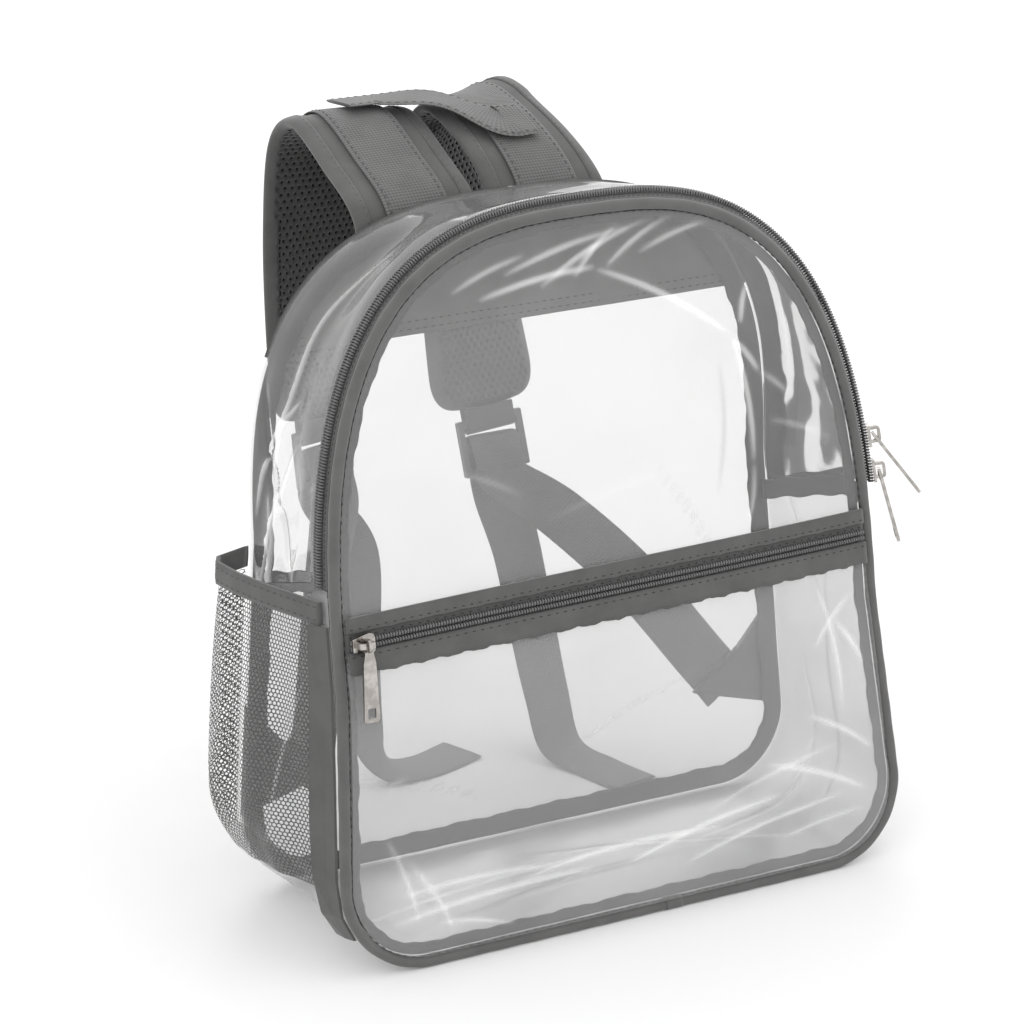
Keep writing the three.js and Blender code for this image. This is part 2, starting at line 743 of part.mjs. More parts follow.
// Tab that hangs along -X, with an eye for the bow at its neck and a slot near its free end.
// Its pin lies on the origin, along Y.
function pullerTab() {
  const half = pullerWidth / 2;
  const neck = half * 0.8;
  const tab = new THREE.Shape();
  const end = -pullerLength;
  tab.moveTo(pullerThickness / 2, -neck);
  tab.lineTo(pullerThickness / 2, neck);
  tab.lineTo(-pullerNeck, neck);
  tab.lineTo(-pullerShoulder, half * 0.72);
  tab.lineTo(end + 1, half);
  tab.lineTo(end, half - 1);
  tab.lineTo(end, -half + 1);
  tab.lineTo(end + 1, -half);
  tab.lineTo(-pullerShoulder, -half * 0.72);
  tab.lineTo(-pullerNeck, -neck);
  tab.closePath();
  const cut = (from, to, wide) => {
    const hole = new THREE.Path();
    hole.moveTo(from, -wide / 2);
    hole.lineTo(to, -wide / 2);
    hole.lineTo(to, wide / 2);
    hole.lineTo(from, wide / 2);
    hole.closePath();
    tab.holes.push(hole);
  };
  cut(-pullerThickness / 2, -eyeLength, bowWidth + 2 * eyeRoom);
  cut(end + 6, end + 1.8, pullerWidth * 0.5);
  const solid = new THREE.ExtrudeGeometry(tab, { depth: pullerThickness, bevelEnabled: false });
  return solid.translate(0, 0, -pullerThickness / 2);
}

const pinLift = sliderPlate + (bowHeight - bowThickness) / 2;

// Place of a slider on the main zip at a height up the right side, tilted as the zip is there:
// its origin just off the coil, and the directions along the zip, across it and out of it.
function mainZipFrame(height) {
  const length = lengthAtHeight(frontOutline, height);
  const offCoil = coilBase - coilHeight - 2 * clearance;
  const at = (further, behind) => {
    const p = outlinePoint(frontOutline, length + further);
    return onFront(p, offCoil - zipLift(behind, p), behind);
  };
  const origin = at(0, coilMiddle);
  const along = at(1, coilMiddle).sub(origin).normalize();
  const out = at(0, coilMiddle + 1).sub(origin).cross(along).normalize();
  return { origin, along, out, across: out.clone().cross(along) };
}

function placeIn({ origin, along, out, across }, mesh) {
  const basis = new THREE.Matrix4().makeBasis(along, across, out).setPosition(origin);
  mesh.applyMatrix4(basis);
}

const lowerFrame = mainZipFrame(zipEndFront + lowerSliderAbove);
const upperFrame = mainZipFrame(zipEndFront + lowerSliderAbove + sliderSpacing);
placeIn(upperFrame, piece("main_slider_upper", slider(), nickel));
placeIn(lowerFrame, piece("main_slider_lower", slider().rotateZ(Math.PI), nickel));

// Puller on a main slider: its pin lies across the zip, and a slant holds it out from the zip.
function hangPuller(name, frame, slant) {
  const { along: up, out: outward, across } = frame;
  const origin = frame.origin.clone().addScaledVector(outward, pinLift);
  const along = up.clone().applyAxisAngle(across, radians(slant));
  placeIn({ origin, along, across, out: along.clone().cross(across) }, piece(name, pullerTab(), nickel));
}
hangPuller("main_puller_upper", upperFrame, upperPullerSlant);
hangPuller("main_puller_lower", lowerFrame, lowerPullerSlant);

// Pocket slider at the zip's left end. Its puller hangs by a ring round the bow.
function pocketFrame() {
  const x = -frontHalfAt(pocketCoilMiddle) + pocketSliderInset;
  const lean = radians(frontLean);
  const proud = layerOne + tapeThickness + coilHeight + 2 * clearance + frontProud(x, pocketCoilMiddle);
  const origin = onFront(plainPoint(x, pocketCoilMiddle + pocketLiftAt(x)), 0, 0);
  origin.add(vector(0, -Math.cos(lean), Math.sin(lean)).multiplyScalar(proud));
  const along = vector(1, 0, 0);
  const out = vector(0, -Math.cos(lean), Math.sin(lean));
  return { origin, along, out, across: out.clone().cross(along) };
}

// Ring round a bow bar that lies along X through the origin, with the tab hanging from it.
function ringPuller() {
  const outer = bowThickness * 1.15 + pullerThickness;
  const ringShape = new THREE.Shape().absarc(0, 0, outer, 0, 2 * Math.PI);
  ringShape.holes.push(new THREE.Path().absarc(0, 0, outer - pullerThickness, 0, 2 * Math.PI, true));
  const sides = { depth: pullerThickness, bevelEnabled: false, curveSegments: 7 };
  const ring = new THREE.ExtrudeGeometry(ringShape, sides);
  ring.translate(0, 0, -pullerThickness / 2).rotateY(Math.PI / 2);
  const half = pullerWidth / 2;
  const top = -outer + pullerThickness * 0.4;
  const end = top - pullerLength + outer;
  const tab = new THREE.Shape();
  tab.moveTo(-half * 0.5, top);
  tab.lineTo(-half * 0.8, top - 5);
  tab.lineTo(-half, end + 1);
  tab.lineTo(-half + 1, end);
  tab.lineTo(half - 1, end);
  tab.lineTo(half, end + 1);
  tab.lineTo(half * 0.8, top - 5);
  tab.lineTo(half * 0.5, top);
  tab.closePath();
  const slot = new THREE.Path();
  const wide = pullerWidth * 0.25;
  slot.moveTo(-wide, end + 1.8);
  slot.lineTo(-wide, end + 6);
  slot.lineTo(wide, end + 6);
  slot.lineTo(wide, end + 1.8);
  slot.closePath();
  tab.holes.push(slot);
  const flat = new THREE.ExtrudeGeometry(tab, { depth: pullerThickness, bevelEnabled: false });
  flat.translate(0, 0, -pullerThickness / 2).rotateX(Math.PI / 2);
  return asGeometry(asSolid(ring).add(asSolid(flat)));
}

const pocketZip = pocketFrame();
placeIn(pocketZip, piece("pocket_slider", slider(), nickel));
const bowBar = pocketZip.origin.clone().addScaledVector(pocketZip.out, sliderPlate + bowHeight - bowThickness / 2);
const pocketPuller = piece("pocket_puller", ringPuller(), nickel);
pocketPuller.position.copy(bowBar);
pocketPuller.rotateX(-radians(pocketPullerSlant));

// Bottle pocket on the left side: net held out by a stiff rim, sewn in at both seams and the foot
const bottleBulge = [
  { along: 0, rim: 0, body: 0 },
  { along: 0.07, rim: 0.58, body: 0.5 },
  { along: 0.16, rim: 0.7, body: 0.86 },
  { along: 0.34, rim: 0.62, body: 1.04 },
  { along: 0.56, rim: 0.44, body: 0.9 },
  { along: 0.78, rim: 0.2, body: 0.48 },
  { along: 0.97, rim: 0, body: 0 },
];

// Place on the left side's outer face at a share from the back seam to the front one, held off it.
function onLeftSide(along, z, off) {
  const back = outlinePoint(backOutline, lengthAtHeight(backOutline, z / Math.cos(radians(backLean))));
  const front = outlinePoint(frontOutline, lengthAtHeight(frontOutline, z / Math.cos(radians(frontLean))));
  const from = onBack(mirrored(back), 0, bindingThickness);
  const to = onFront(mirrored(front), 0, tapeFront);
  return from.lerp(to, along).add(vector(-off, 0, 0));
}

function netOff(row, up) {
  const swell = Math.sin((Math.PI / 2) * Math.min(up / 0.42, 1));
  const share = row.body + (row.rim - row.body) * Math.pow(up, 3);
  return 3 * clearance + netThickness / 2 + bottleReach * share * swell;
}

function bottleNet() {
  const levels = [0, 0.08, 0.18, 0.32, 0.5, 0.68, 0.84, 1];
  const top = bottleTop - bottleRim - clearance;
  const grid = bottleBulge.map((row) =>
    levels.map((up) => ({
      point: onLeftSide(row.along, bottleFoot + (top - bottleFoot) * up, netOff(row, up)),
      normal: vector(-1, 0, 0),
    })),
  );
  return thickSheet(grid, netThickness);
}

function bottleRimBand() {
  const ring = (row) => {
    const off = netOff(row, 1) - netThickness / 2;
    const low = bottleTop - bottleRim;
    return [
      onLeftSide(row.along, low, off),
      onLeftSide(row.along, bottleTop, off),
      onLeftSide(row.along, bottleTop, off + 2 * bindingThickness),
      onLeftSide(row.along, low, off + 2 * bindingThickness),
    ];
  };
  return loftRings(bottleBulge.map(ring));
}

// Binding over the net's front edge, from close behind the piping to just past the edge.
function bottleEdging() {
  const edge = bottleBulge[bottleBulge.length - 1].along;
  const front = 1 + pipingRadius / 2 / baseDepth;
  const back = edge - (bindingWidth / baseDepth) * 0.7;
  const overNet = 4 * clearance + netThickness;
  const foot = bottleFoot - bindingThickness;
  const ring = (up) => {
    const z = foot + (bottleTop - bottleRim - clearance - foot) * up;
    const before = bottleBulge[bottleBulge.length - 2];
    const lift = (netOff(before, up) * (edge - back)) / (edge - before.along) + 2 * clearance;
    return [
      onLeftSide(front, z, clearance),
      onLeftSide(edge, z, overNet),
      onLeftSide(back, z, overNet + lift),
      onLeftSide(back, z, overNet + lift + bindingThickness),
      onLeftSide(edge, z, overNet + bindingThickness),
      onLeftSide(front, z, clearance + bindingThickness),
    ];
  };
  return loftRings([0, 0.08, 0.2, 0.35, 0.55, 0.8, 1].map(ring));
}

piece("bottle_pocket_net", bottleNet(), darkMesh);
piece("bottle_pocket_rim", bottleRimBand(), greyCloth);
piece("bottle_pocket_edging", bottleEdging(), greyCloth);

// Shoulder straps: each leaves the yoke, rises, turns over and hangs down behind.
// across is a share of the spacing, behind of the reach, up of the back's height.
const rootUp = 1 - (yokeDrop * 0.64) / backHeight;
const leftRoute = [
  { across: -0.64, behind: 0.008, up: rootUp, turn: 0 },
  { across: -0.66, behind: 0.035, up: 0.972, turn: 0 },
  { across: -0.66, behind: 0.3, up: 1.022, turn: -4 },
  { across: -0.65, behind: 0.68, up: 1.064, turn: -6 },
  { across: -0.65, behind: 0.94, up: 1.015, turn: 0 },
  { across: -0.68, behind: 1.04, up: 0.878, turn: 8 },
  { across: -0.7, behind: 1.07, up: 0.731, turn: 14 },
  { across: -0.72, behind: 1.04, up: 0.629, turn: 17 },
  { across: -0.72, behind: 1.02, up: 0.578, turn: 18 },
];
const rightRoute = [
  { across: 0.37, behind: 0.008, up: rootUp, turn: 0 },
  { across: 0.36, behind: 0.035, up: 0.972, turn: 2 },
  { across: 0.35, behind: 0.3, up: 1.034, turn: 14 },
  { across: 0.35, behind: 0.72, up: 1.064, turn: 30 },
  { across: 0.34, behind: 0.92, up: 1.02, turn: 32 },
  { across: 0.38, behind: 0.94, up: 0.878, turn: 22 },
  { across: 0.44, behind: 0.9, up: 0.731, turn: 12 },
  { across: 0.48, behind: 0.86, up: 0.629, turn: 4 },
  { across: 0.5, behind: 0.83, up: 0.575, turn: 0 },
];
const rootBehind = yokeThickness / 2 + 2 * clearance + webbingThickness + padThickness / 2;

// A route's row as a place and a band width, from the bag's own sizes.
function strapRow({ across, behind, up, turn }) {
  const z = backHeight * up;
  return {
    x: strapSpacing * across,
    y: backPlaneY(z) + rootBehind + strapReach * behind,
    z,
    turn,
    roll: 0,
    width: strapWidth,
  };
}

// Width of the pad as a share of the strap's, narrower and then rounded off towards its lower end.
function padTaper(share) {
  const left = Math.min(Math.max(1 - share, 0) / 0.13, 1);
  const round = 0.45 + 0.55 * Math.sqrt(1 - (1 - left) * (1 - left));
  return round * (1 - strapNarrowing * share);
}

const padSteps = 26;
function strapBand(stations, from, to, layer) {
  const rings = stations.slice(from, to + 1).map((station, i) => {
    const share = (i + from) / padSteps;
    return bandRing(station, { ...layer, width: layer.width * (layer.full ? 1 : padTaper(share)) });
  });
  return loftRings(rings);
}

function strap(side, route) {
  const stations = bandStations(route.map(strapRow), padSteps);
  const seam = strapWebbing / 2;
  const pad = { width: strapWidth, thickness: padThickness, chamfer: padThickness * 0.3, seam };
  piece("strap_pad_" + side, strapBand(stations, 0, padSteps, pad), greyCloth);
  const liningLift = -(padThickness / 2 + clearance + liningThickness / 2);
  const lining = { width: strapWidth - 3, thickness: liningThickness, lift: liningLift, seam };
  piece("strap_lining_" + side, strapBand(stations, 0, padSteps, lining), darkMesh);
  const webbingLift = padThickness / 2 + clearance + webbingThickness / 2;
  const webbing = { width: strapWebbing, thickness: webbingThickness, lift: webbingLift, full: true };
  piece("strap_webbing_" + side, strapBand(stations, 0, padSteps - 2, webbing), greyWebbing);
  return stations;
}
const strapStations = { left: strap("left", leftRoute), right: strap("right", rightRoute) };

// Adjuster below each pad's end: frame with two slots, hung on a short cloth tab.
function adjusterFrame(stations) {
  const last = stations[padSteps];
  const down = last.travel.clone();
  const across = last.across.clone();
  const out = across.clone().cross(down);
  const top = last.centre.clone().addScaledVector(down, clearance);
  return { top, down, across, out };
}

function adjuster() {
  const frame = new THREE.Shape();
  const half = adjusterWidth / 2;
  const foot = -adjusterLength;
  frame.moveTo(-half, 0);
  frame.lineTo(-half, foot);
  frame.lineTo(half, foot);
  frame.lineTo(half, 0);
  frame.closePath();
  const room = lowerWebbing / 2 + 1;
  const slot = (adjusterLength - 3 * adjusterBar) / 2;
  [0, 1].forEach((i) => {
    const high = -adjusterBar - i * (slot + adjusterBar);
    const hole = new THREE.Path();
    hole.moveTo(-room, high);
    hole.lineTo(room, high);
    hole.lineTo(room, high - slot);
    hole.lineTo(-room, high - slot);
    hole.closePath();
    frame.holes.push(hole);
  });
  const solid = new THREE.ExtrudeGeometry(frame, { depth: adjusterThickness, bevelEnabled: false });
  return solid.translate(0, 0, -adjusterThickness / 2);
}

// Cloth triangle sewn into the back seam above each lower corner, flat behind the back panel.
const tabBehind = vinyl / 2 + clearance + tabThickness / 2;

// Middle of the tab's free edge, and that edge's direction, square to the webbing that enters it.
function tabEdge() {
  const seam = outlinePoint(backOutline, lengthAtHeight(backOutline, tabMiddle));
  const slant = radians(tabSlant);
  return { x: seam.x - tabReach, v: tabMiddle, wx: Math.cos(slant), wv: Math.sin(slant) };
}

function tabCorners(side) {
  const seam = (v) => outlinePoint(backOutline, lengthAtHeight(backOutline, v));
  const edge = tabEdge();
  const half = lowerWebbing / 2 + 1.5;
  const high = { x: edge.x + edge.wx * half, v: edge.v + edge.wv * half };
  const low = { x: edge.x - edge.wx * half, v: edge.v - edge.wv * half };
  const corners = [insetPoint(seam(tabHigh), tabInset), high, low, insetPoint(seam(tabLow), tabInset)];
  return corners.map((p) => ({ x: side * p.x, v: p.v }));
}

function anchorTab(side) {
  const layer = (behind) => tabCorners(side).map((p) => onBack(plainPoint(p.x, p.v), 0, -behind));
  return loftRings([layer(tabBehind - tabThickness / 2), layer(tabBehind + tabThickness / 2)]);
}

// Lower webbing, one length: from the anchor tab up to the adjuster, over its middle bar and down
// again as the free tail, whose end lies on the ground. slack rows are shares of the same sizes.
const leftTail = [
  { across: -0.58, behind: 0.86, up: 0.36, turn: 6 },
  { across: -0.62, behind: 0.8, up: 0.19, turn: 14 },
  { across: -0.58, behind: 0.78, up: 0.075, turn: 28 },
  { across: -0.42, behind: 0.77, up: 0.014, turn: 58 },
  { across: -0.12, behind: 0.79, up: 0, turn: 84 },
  { across: 0.28, behind: 0.88, up: 0, turn: 112 },
];
const rightTail = [
  { across: 0.74, behind: 0.84, up: 0.33, turn: 2 },
  { across: 0.84, behind: 0.8, up: 0.19, turn: 4 },
  { across: 0.9, behind: 0.74, up: 0.085, turn: 8 },
  { across: 0.9, behind: 0.6, up: 0.014, turn: 14 },
  { across: 1.02, behind: 0.38, up: 0, turn: 12 },
  { across: 1.12, behind: 0.12, up: 0, turn: 10 },
];

function tailRow({ across, behind, up, turn }) {
  const z = webbingThickness / 2 + clearance + backHeight * up;
  return {
    x: strapSpacing * across,
    y: backPlaneY(z) + rootBehind + strapReach * behind,
    z,
    turn,
    roll: 0,
    width: lowerWebbing,
  };
}

// Distance of a band's middle from the middle of the adjuster, and the heights of its bars,
// measured down from the pad's end.
const besideAdjuster = adjusterThickness / 2 + clearance + webbingThickness / 2;
const adjusterSlot = (adjusterLength - 3 * adjusterBar) / 2;
const topBarFoot = hangLoop + adjusterBar;
const middleBarTop = topBarFoot + adjusterSlot;

function lowerRoute(side, frame, tail) {
  const sign = side === "left" ? -1 : 1;
  const at = (down, out) => frame.top.clone().addScaledVector(frame.down, down).addScaledVector(frame.out, out);
  const row = (p, turn, roll) => ({ x: p.x, y: p.y, z: p.z, turn, roll, width: lowerWebbing });
  const heading = THREE.MathUtils.radToDeg(Math.atan2(frame.across.y, frame.across.x));
  const edge = tabEdge();
  const behindTab = tabBehind + tabThickness / 2 + clearance + webbingThickness / 2;
  const onTab = (along, lift) =>
    onBack(plainPoint(sign * (edge.x - edge.wv * along), edge.v + edge.wx * along), 0, -behindTab - lift);
  const leaves = onTab(8, 2);
  const foot = at(hangLoop + adjusterLength + 3, -besideAdjuster - 4.4);
  const between = (share, sag) => leaves.clone().lerp(foot, share).add(vector(0, 0, -sag));
  const roll = sign * tabSlant;
  const bend = besideAdjuster + clearance;
  const turnAt = (angle) => {
    const around = radians(angle);
    return at(middleBarTop - bend * Math.sin(around), -bend * Math.cos(around));
  };
  return [
    row(onTab(-webbingRoot, 0), 0, roll),
    row(onTab(-1, 0.2), 0, roll),
    row(leaves, 0, roll),
    row(between(0.35, -8), heading * 0.2, roll * 0.95),
    row(between(0.72, -7), heading * 0.6, roll * 0.7),
    row(foot, heading, roll * 0.25),
    row(at(hangLoop + adjusterLength - adjusterBar, -besideAdjuster - 2.6), heading, 0),
    row(turnAt(0), heading, 0),
    row(turnAt(45), heading, 0),
    row(turnAt(90), heading, 0),
    row(turnAt(135), heading, 0),
    row(turnAt(180), heading, 0),
    row(at(hangLoop + adjusterLength - adjusterBar, besideAdjuster + 1), heading, 0),
    row(at(hangLoop + adjusterLength + 8, besideAdjuster + 1.2), heading, 0),
    ...tail.map(tailRow),
  ];
}

// Short webbing loop that carries the adjuster's top bar under the pad's end.
function carryLoop(frame) {
  const at = (down, out) => frame.top.clone().addScaledVector(frame.down, down).addScaledVector(frame.out, out);
  const half = (adjusterWidth - 2 * adjusterBar) / 2 - 1;
  const outer = besideAdjuster + webbingThickness / 2;
  const inner = besideAdjuster - webbingThickness / 2;
  const bend = (radius, angle) => {
    const around = radians(angle);
    return [topBarFoot + radius * Math.sin(around), -radius * Math.cos(around)];
  };
  const angles = [0, 45, 90, 135, 180];
  const profile = [
    [0, -outer],
    ...angles.map((angle) => bend(outer, angle)),
    [0, outer],
    [0, inner],
    ...[...angles].reverse().map((angle) => bend(inner, angle)),
    [0, -inner],
  ];
  const shape = new THREE.Shape(profile.map(([down, out]) => new THREE.Vector2(down, out)));
  const solid = new THREE.ExtrudeGeometry(shape, { depth: 2 * half, bevelEnabled: false });
  solid.translate(0, 0, -half);
  const basis = new THREE.Matrix4().makeBasis(frame.down, frame.out, frame.down.clone().cross(frame.out));
  return solid.applyMatrix4(basis.setPosition(at(0, 0)));
}

function lowerStrap(side, tail) {
  const frame = adjusterFrame(strapStations[side]);
  const sign = side === "left" ? -1 : 1;
  piece("anchor_tab_" + side, anchorTab(sign), greyCloth);
  const mesh = piece("strap_adjuster_" + side, adjuster(), greyPlastic);
  piece("strap_loop_" + side, carryLoop(frame), greyWebbing);
  const top = frame.top.clone().addScaledVector(frame.down, hangLoop);
  const up = frame.down.clone().negate();
  const basis = new THREE.Matrix4().makeBasis(frame.across, up, frame.across.clone().cross(up));
  mesh.applyMatrix4(basis.setPosition(top));
  const rows = lowerRoute(side, frame, tail);
  const rings = bandStations(rows, rows.length * 3).map((station) =>
    bandRing(station, { width: lowerWebbing, thickness: webbingThickness }),
  );
  piece("lower_webbing_" + side, loftRings(rings), greyWebbing);
}
lowerStrap("left", leftTail);
lowerStrap("right", rightTail);

// Haul handle: webbing stitched on top of both straps near their highest point, bowed between them
function haulHandle() {
  const lift = padThickness / 2 + 2 * webbingThickness + 3 * clearance;
  const seat = ({ centre, across, travel, face }, shift) => {
    const p = centre.clone().addScaledVector(face, lift).addScaledVector(across, shift);
    const turn = THREE.MathUtils.radToDeg(Math.atan2(travel.y, travel.x));
    const roll = THREE.MathUtils.radToDeg(Math.asin(travel.z));
    return { x: p.x, y: p.y, z: p.z, turn, roll, width: handleWidth };
  };
  const left = strapStations.left[Math.round(handleLeftShare * padSteps)];
  const right = strapStations.right[Math.round(handleRightShare * padSteps)];
  const from = [-0.15, 0.15, 0.5].map((share) => seat(left, strapWebbing * share));
  const to = [-0.3, 0, 0.25].map((share) => seat(right, strapWebbing * share));
  const [a, b] = [from[2], to[0]];
  const middle = { ...a };
  for (const key of ["x", "y", "z", "turn", "roll"]) middle[key] = (a[key] + b[key]) / 2;
  middle.z += handleRise;
  middle.roll *= 0.4;
  const rings = bandStations([...from, middle, ...to], 18).map((station) =>
    bandRing(station, { width: handleWidth, thickness: webbingThickness }),
  );
  return loftRings(rings);
}
piece("haul_handle", haulHandle(), greyWebbing);

export default bag;
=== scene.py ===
"""Clear stadium backpack: sewn vinyl, cloth, net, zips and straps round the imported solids.
Sizes are in millimetres, as in the part, and every finished mesh is in metres in the part's frame."""
import math
from collections import namedtuple

import bmesh
import bpy
import numpy as np
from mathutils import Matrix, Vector


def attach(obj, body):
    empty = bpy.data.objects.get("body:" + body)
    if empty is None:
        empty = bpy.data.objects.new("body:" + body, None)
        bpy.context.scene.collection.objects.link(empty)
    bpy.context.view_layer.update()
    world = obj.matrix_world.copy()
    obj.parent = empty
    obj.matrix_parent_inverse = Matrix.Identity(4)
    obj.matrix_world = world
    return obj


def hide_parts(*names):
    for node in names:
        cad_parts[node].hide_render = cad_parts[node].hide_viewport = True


MM = 0.001

# Body
FRONT_HEIGHT = 305
FRONT_WIDTH = 260
FRONT_FLARE = 6
FRONT_CORNER = 38
FRONT_SPRING = 118
FRONT_LEAN = math.radians(9.4)
BACK_HEIGHT = 294
BACK_WIDTH = FRONT_WIDTH - 6
BACK_FLARE = 10
BACK_CORNER = 34
BACK_SPRING = 158
BACK_LEAN = math.radians(2)
ARCH_POWER = 2.8
HALF_DEPTH = 51
FRONT_BULGE = 5
BACK_DISH = 2
VINYL = 1
CLEARANCE = 0.3

# Bindings, piping and yoke
PIPING_RADIUS = 2.4
FRONT_BINDING_WIDTH = 4.5
BINDING_WIDTH = 9
BINDING_THICKNESS = 1.2
BINDING_LEVEL = 0.14
YOKE_DROP = 58
YOKE_THICKNESS = 1.6
SEAM_INSET = 2 * PIPING_RADIUS + CLEARANCE

# Main zip
ZIP_END_FRONT = 163
ZIP_END_BACK = 140
TAPE_WIDTH = 12.3
TAPE_SHOWN = 3.5
TAPE_THICKNESS = 0.8
COIL_WIDTH = 4.8
COIL_HEIGHT = 2.2
ZIP_RISE = 5.3
ZIP_SETTLE = 3.55
ZIP_SWAY = 3.8
TAPE_FRONT = PIPING_RADIUS + CLEARANCE
COIL_FRONT = TAPE_FRONT + TAPE_SHOWN
COIL_MIDDLE = COIL_FRONT + COIL_WIDTH / 2
CROWN_FRONT = COIL_FRONT + COIL_WIDTH + 4 * CLEARANCE
LEVEL_END = TAPE_FRONT + TAPE_WIDTH + 2 * CLEARANCE
LEVEL_SHARE = 0.1
GUSSET_ROWS = 460
FLOOR_GAP = 0.4
TOOTH_PITCH = 1.25
TOOTH_SLANT = 0.3

# Front pocket
POCKET_HEIGHT = 134
POCKET_LIFT = 5.6
POCKET_BULGE = 12
POCKET_TAPE = 15
POCKET_TOP_BINDING = 6
POCKET_LOWER_BINDING = 9
TAPE_LOW = POCKET_HEIGHT + CLEARANCE
TAPE_HIGH = TAPE_LOW + POCKET_TAPE
POCKET_COIL_MIDDLE = TAPE_LOW + POCKET_TAPE / 2 - 1
LAYER_ONE = VINYL / 2 + CLEARANCE
LAYER_TWO = LAYER_ONE + VINYL + CLEARANCE

# Bottle pocket on the left side
BOTTLE_TOP = 156
BOTTLE_FOOT = 18
BOTTLE_RIM = 9
BOTTLE_REACH = 26
NET_THICKNESS = 1
NET_PITCH = 1.9
NET_STRAND = 0.5
NET_REACH = 96.0

# Straps
STRAP_SPACING = 62
STRAP_WIDTH = 58
STRAP_NARROWING = 0.1
STRAP_REACH = 96
PAD_THICKNESS = 5.5
WEBBING_THICKNESS = 1.4
STRAP_WEBBING = 30
LOWER_WEBBING = 25
ADJUSTER_LENGTH = 26
ADJUSTER_THICKNESS = 3
ADJUSTER_BAR = 3.5
HANG_LOOP = 5
TAB_THICKNESS = 2.4
TAB_HIGH = 84
TAB_MIDDLE = 55
TAB_LOW = 13
TAB_INSET = 2
TAB_REACH = 33
TAB_SLANT = 37
HANDLE_WIDTH = 25
HANDLE_RISE = 5
PAD_STEPS = 104
WEB_LAST = 96
HANDLE_LEFT = 40
HANDLE_RIGHT = 28
EDGING_WIDTH = 6.5
EDGING_PROUD = 0.55
HOLE_PITCH = 3.5
HOLE_SHARE = 0.46
HOLE_DEPTH = 0.9

# Sewing
STITCH = 2.7
STITCH_GAP = 1.1
STITCH_WIDTH = 0.5
STITCH_PROUD = 0.16
STITCH_DIP = 0.12
FORWARD = (0.0, -1.0, 0.0)
BACKWARD = (0.0, 1.0, 0.0)

# Camera, fitted to the photograph
CAMERA_PLACE = (-0.7442, -1.314, 0.7044)
CAMERA_TARGET = (-0.0229, 0.0174, 0.1649)
CAMERA_LENS = 133.6

# Light
ROOM_STRENGTH = 1.2
LIGHT_TARGET = (0, 0, 0.15)
LIGHTS = (
    ("key", (-1.3, -1.5, 1.9), 1.0, 6),
    ("fill", (1.7, -1.2, 1.2), 1.4, 3),
    ("top", (0.1, 0.5, 2.2), 1.2, 4),
    ("rim", (0.9, 1.6, 1.1), 0.9, 4),
)

Edge = namedtuple("Edge", "x v nx nv")
Band = namedtuple("Band", "centre across travel face width")


def smooth(t):
    t = np.clip(t, 0, 1)
    return t * t * (3 - 2 * t)


def arc(t):
    """Rises from 0 to 1 and falls back, over 0 to 1."""
    return np.sin(np.pi * np.clip(t, 0, 1))


def bent(start, bend, end, share, level):
    """From start to bend over the first part of the share, up to level, then on to end."""
    beyond = bend + (end - bend) * (share - level) / (1 - level)
    return np.where(share > level, beyond, start + (bend - start) * share / level)


# Outlines and places, as in the part
class Outline:
    """Edge of a panel. Lengths run from the middle of the foot, positive up the right side."""

    def __init__(self, width, flare, height, corner, spring, zip_end):
        foot = width / 2 + flare
        turn = np.radians(np.linspace(-90, 0, 25))
        rise = np.radians(np.linspace(0, 90, 161))
        arch = np.cos(rise).clip(0) ** (2 / ARCH_POWER)
        up = np.sin(rise) ** (2 / ARCH_POWER)
        self.x = np.concatenate([[0], foot - corner + corner * np.cos(turn), width / 2 * arch])
        self.v = np.concatenate([[0], corner + corner * np.sin(turn), spring + (height - spring) * up])
        self.s = np.concatenate([[0], np.cumsum(np.hypot(np.diff(self.x), np.diff(self.v)))])
        self.total = self.s[-1]
        self.corner_start = self.s[1]
        self.zip_end = self.length_at(zip_end)

    def spot(self, s):
        wrapped = (np.asarray(s, float) + self.total) % (2 * self.total) - self.total
        reach = np.abs(wrapped)
        return np.sign(wrapped) * np.interp(reach, self.s, self.x), np.interp(reach, self.s, self.v)

    def at(self, s):
        x, v = self.spot(s)
        step = self.total / 150
        before_x, before_v = self.spot(s - step)
        after_x, after_v = self.spot(s + step)
        run = np.hypot(after_x - before_x, after_v - before_v)
        return Edge(x, v, (after_v - before_v) / run, -(after_x - before_x) / run)

    def length_at(self, height):
        return float(np.interp(height, self.v[25:], self.s[25:]))


FRONT = Outline(FRONT_WIDTH, FRONT_FLARE, FRONT_HEIGHT, FRONT_CORNER, FRONT_SPRING, ZIP_END_FRONT)
BACK = Outline(BACK_WIDTH, BACK_FLARE, BACK_HEIGHT, BACK_CORNER, BACK_SPRING, ZIP_END_BACK)


def leaning_point(x, v, off, foot, lean):
    x, v, off = np.broadcast_arrays(x, v, off)
    return np.stack([x, foot + v * math.sin(lean) + off, v * math.cos(lean)], -1)


def front_point(x, v, behind=0.0):
    return leaning_point(x, v, behind, -HALF_DEPTH, FRONT_LEAN)


def back_point(x, v, ahead=0.0):
    return leaning_point(x, v, -ahead, HALF_DEPTH, BACK_LEAN)


def on_front(edge, inset=0.0, behind=0.0):
    return front_point(edge.x - edge.nx * inset, edge.v - edge.nv * inset, behind)


def on_back(edge, inset=0.0, ahead=0.0):
    return back_point(edge.x - edge.nx * inset, edge.v - edge.nv * inset, ahead)


def back_plane_y(z):
    return HALF_DEPTH + z * math.tan(BACK_LEAN)


def rise_at(edge):
    return ZIP_RISE - ZIP_SETTLE * np.maximum(edge.nv, 0) + ZIP_SWAY * edge.nx


def zip_lift(behind, edge):
    left = np.maximum(1 - behind / (TAPE_FRONT + TAPE_WIDTH), 0)
    return rise_at(edge) * (1 - left**2)


def pocket_lift(x):
    return POCKET_LIFT * (1 - (0.5 - x / FRONT_WIDTH) ** 3)


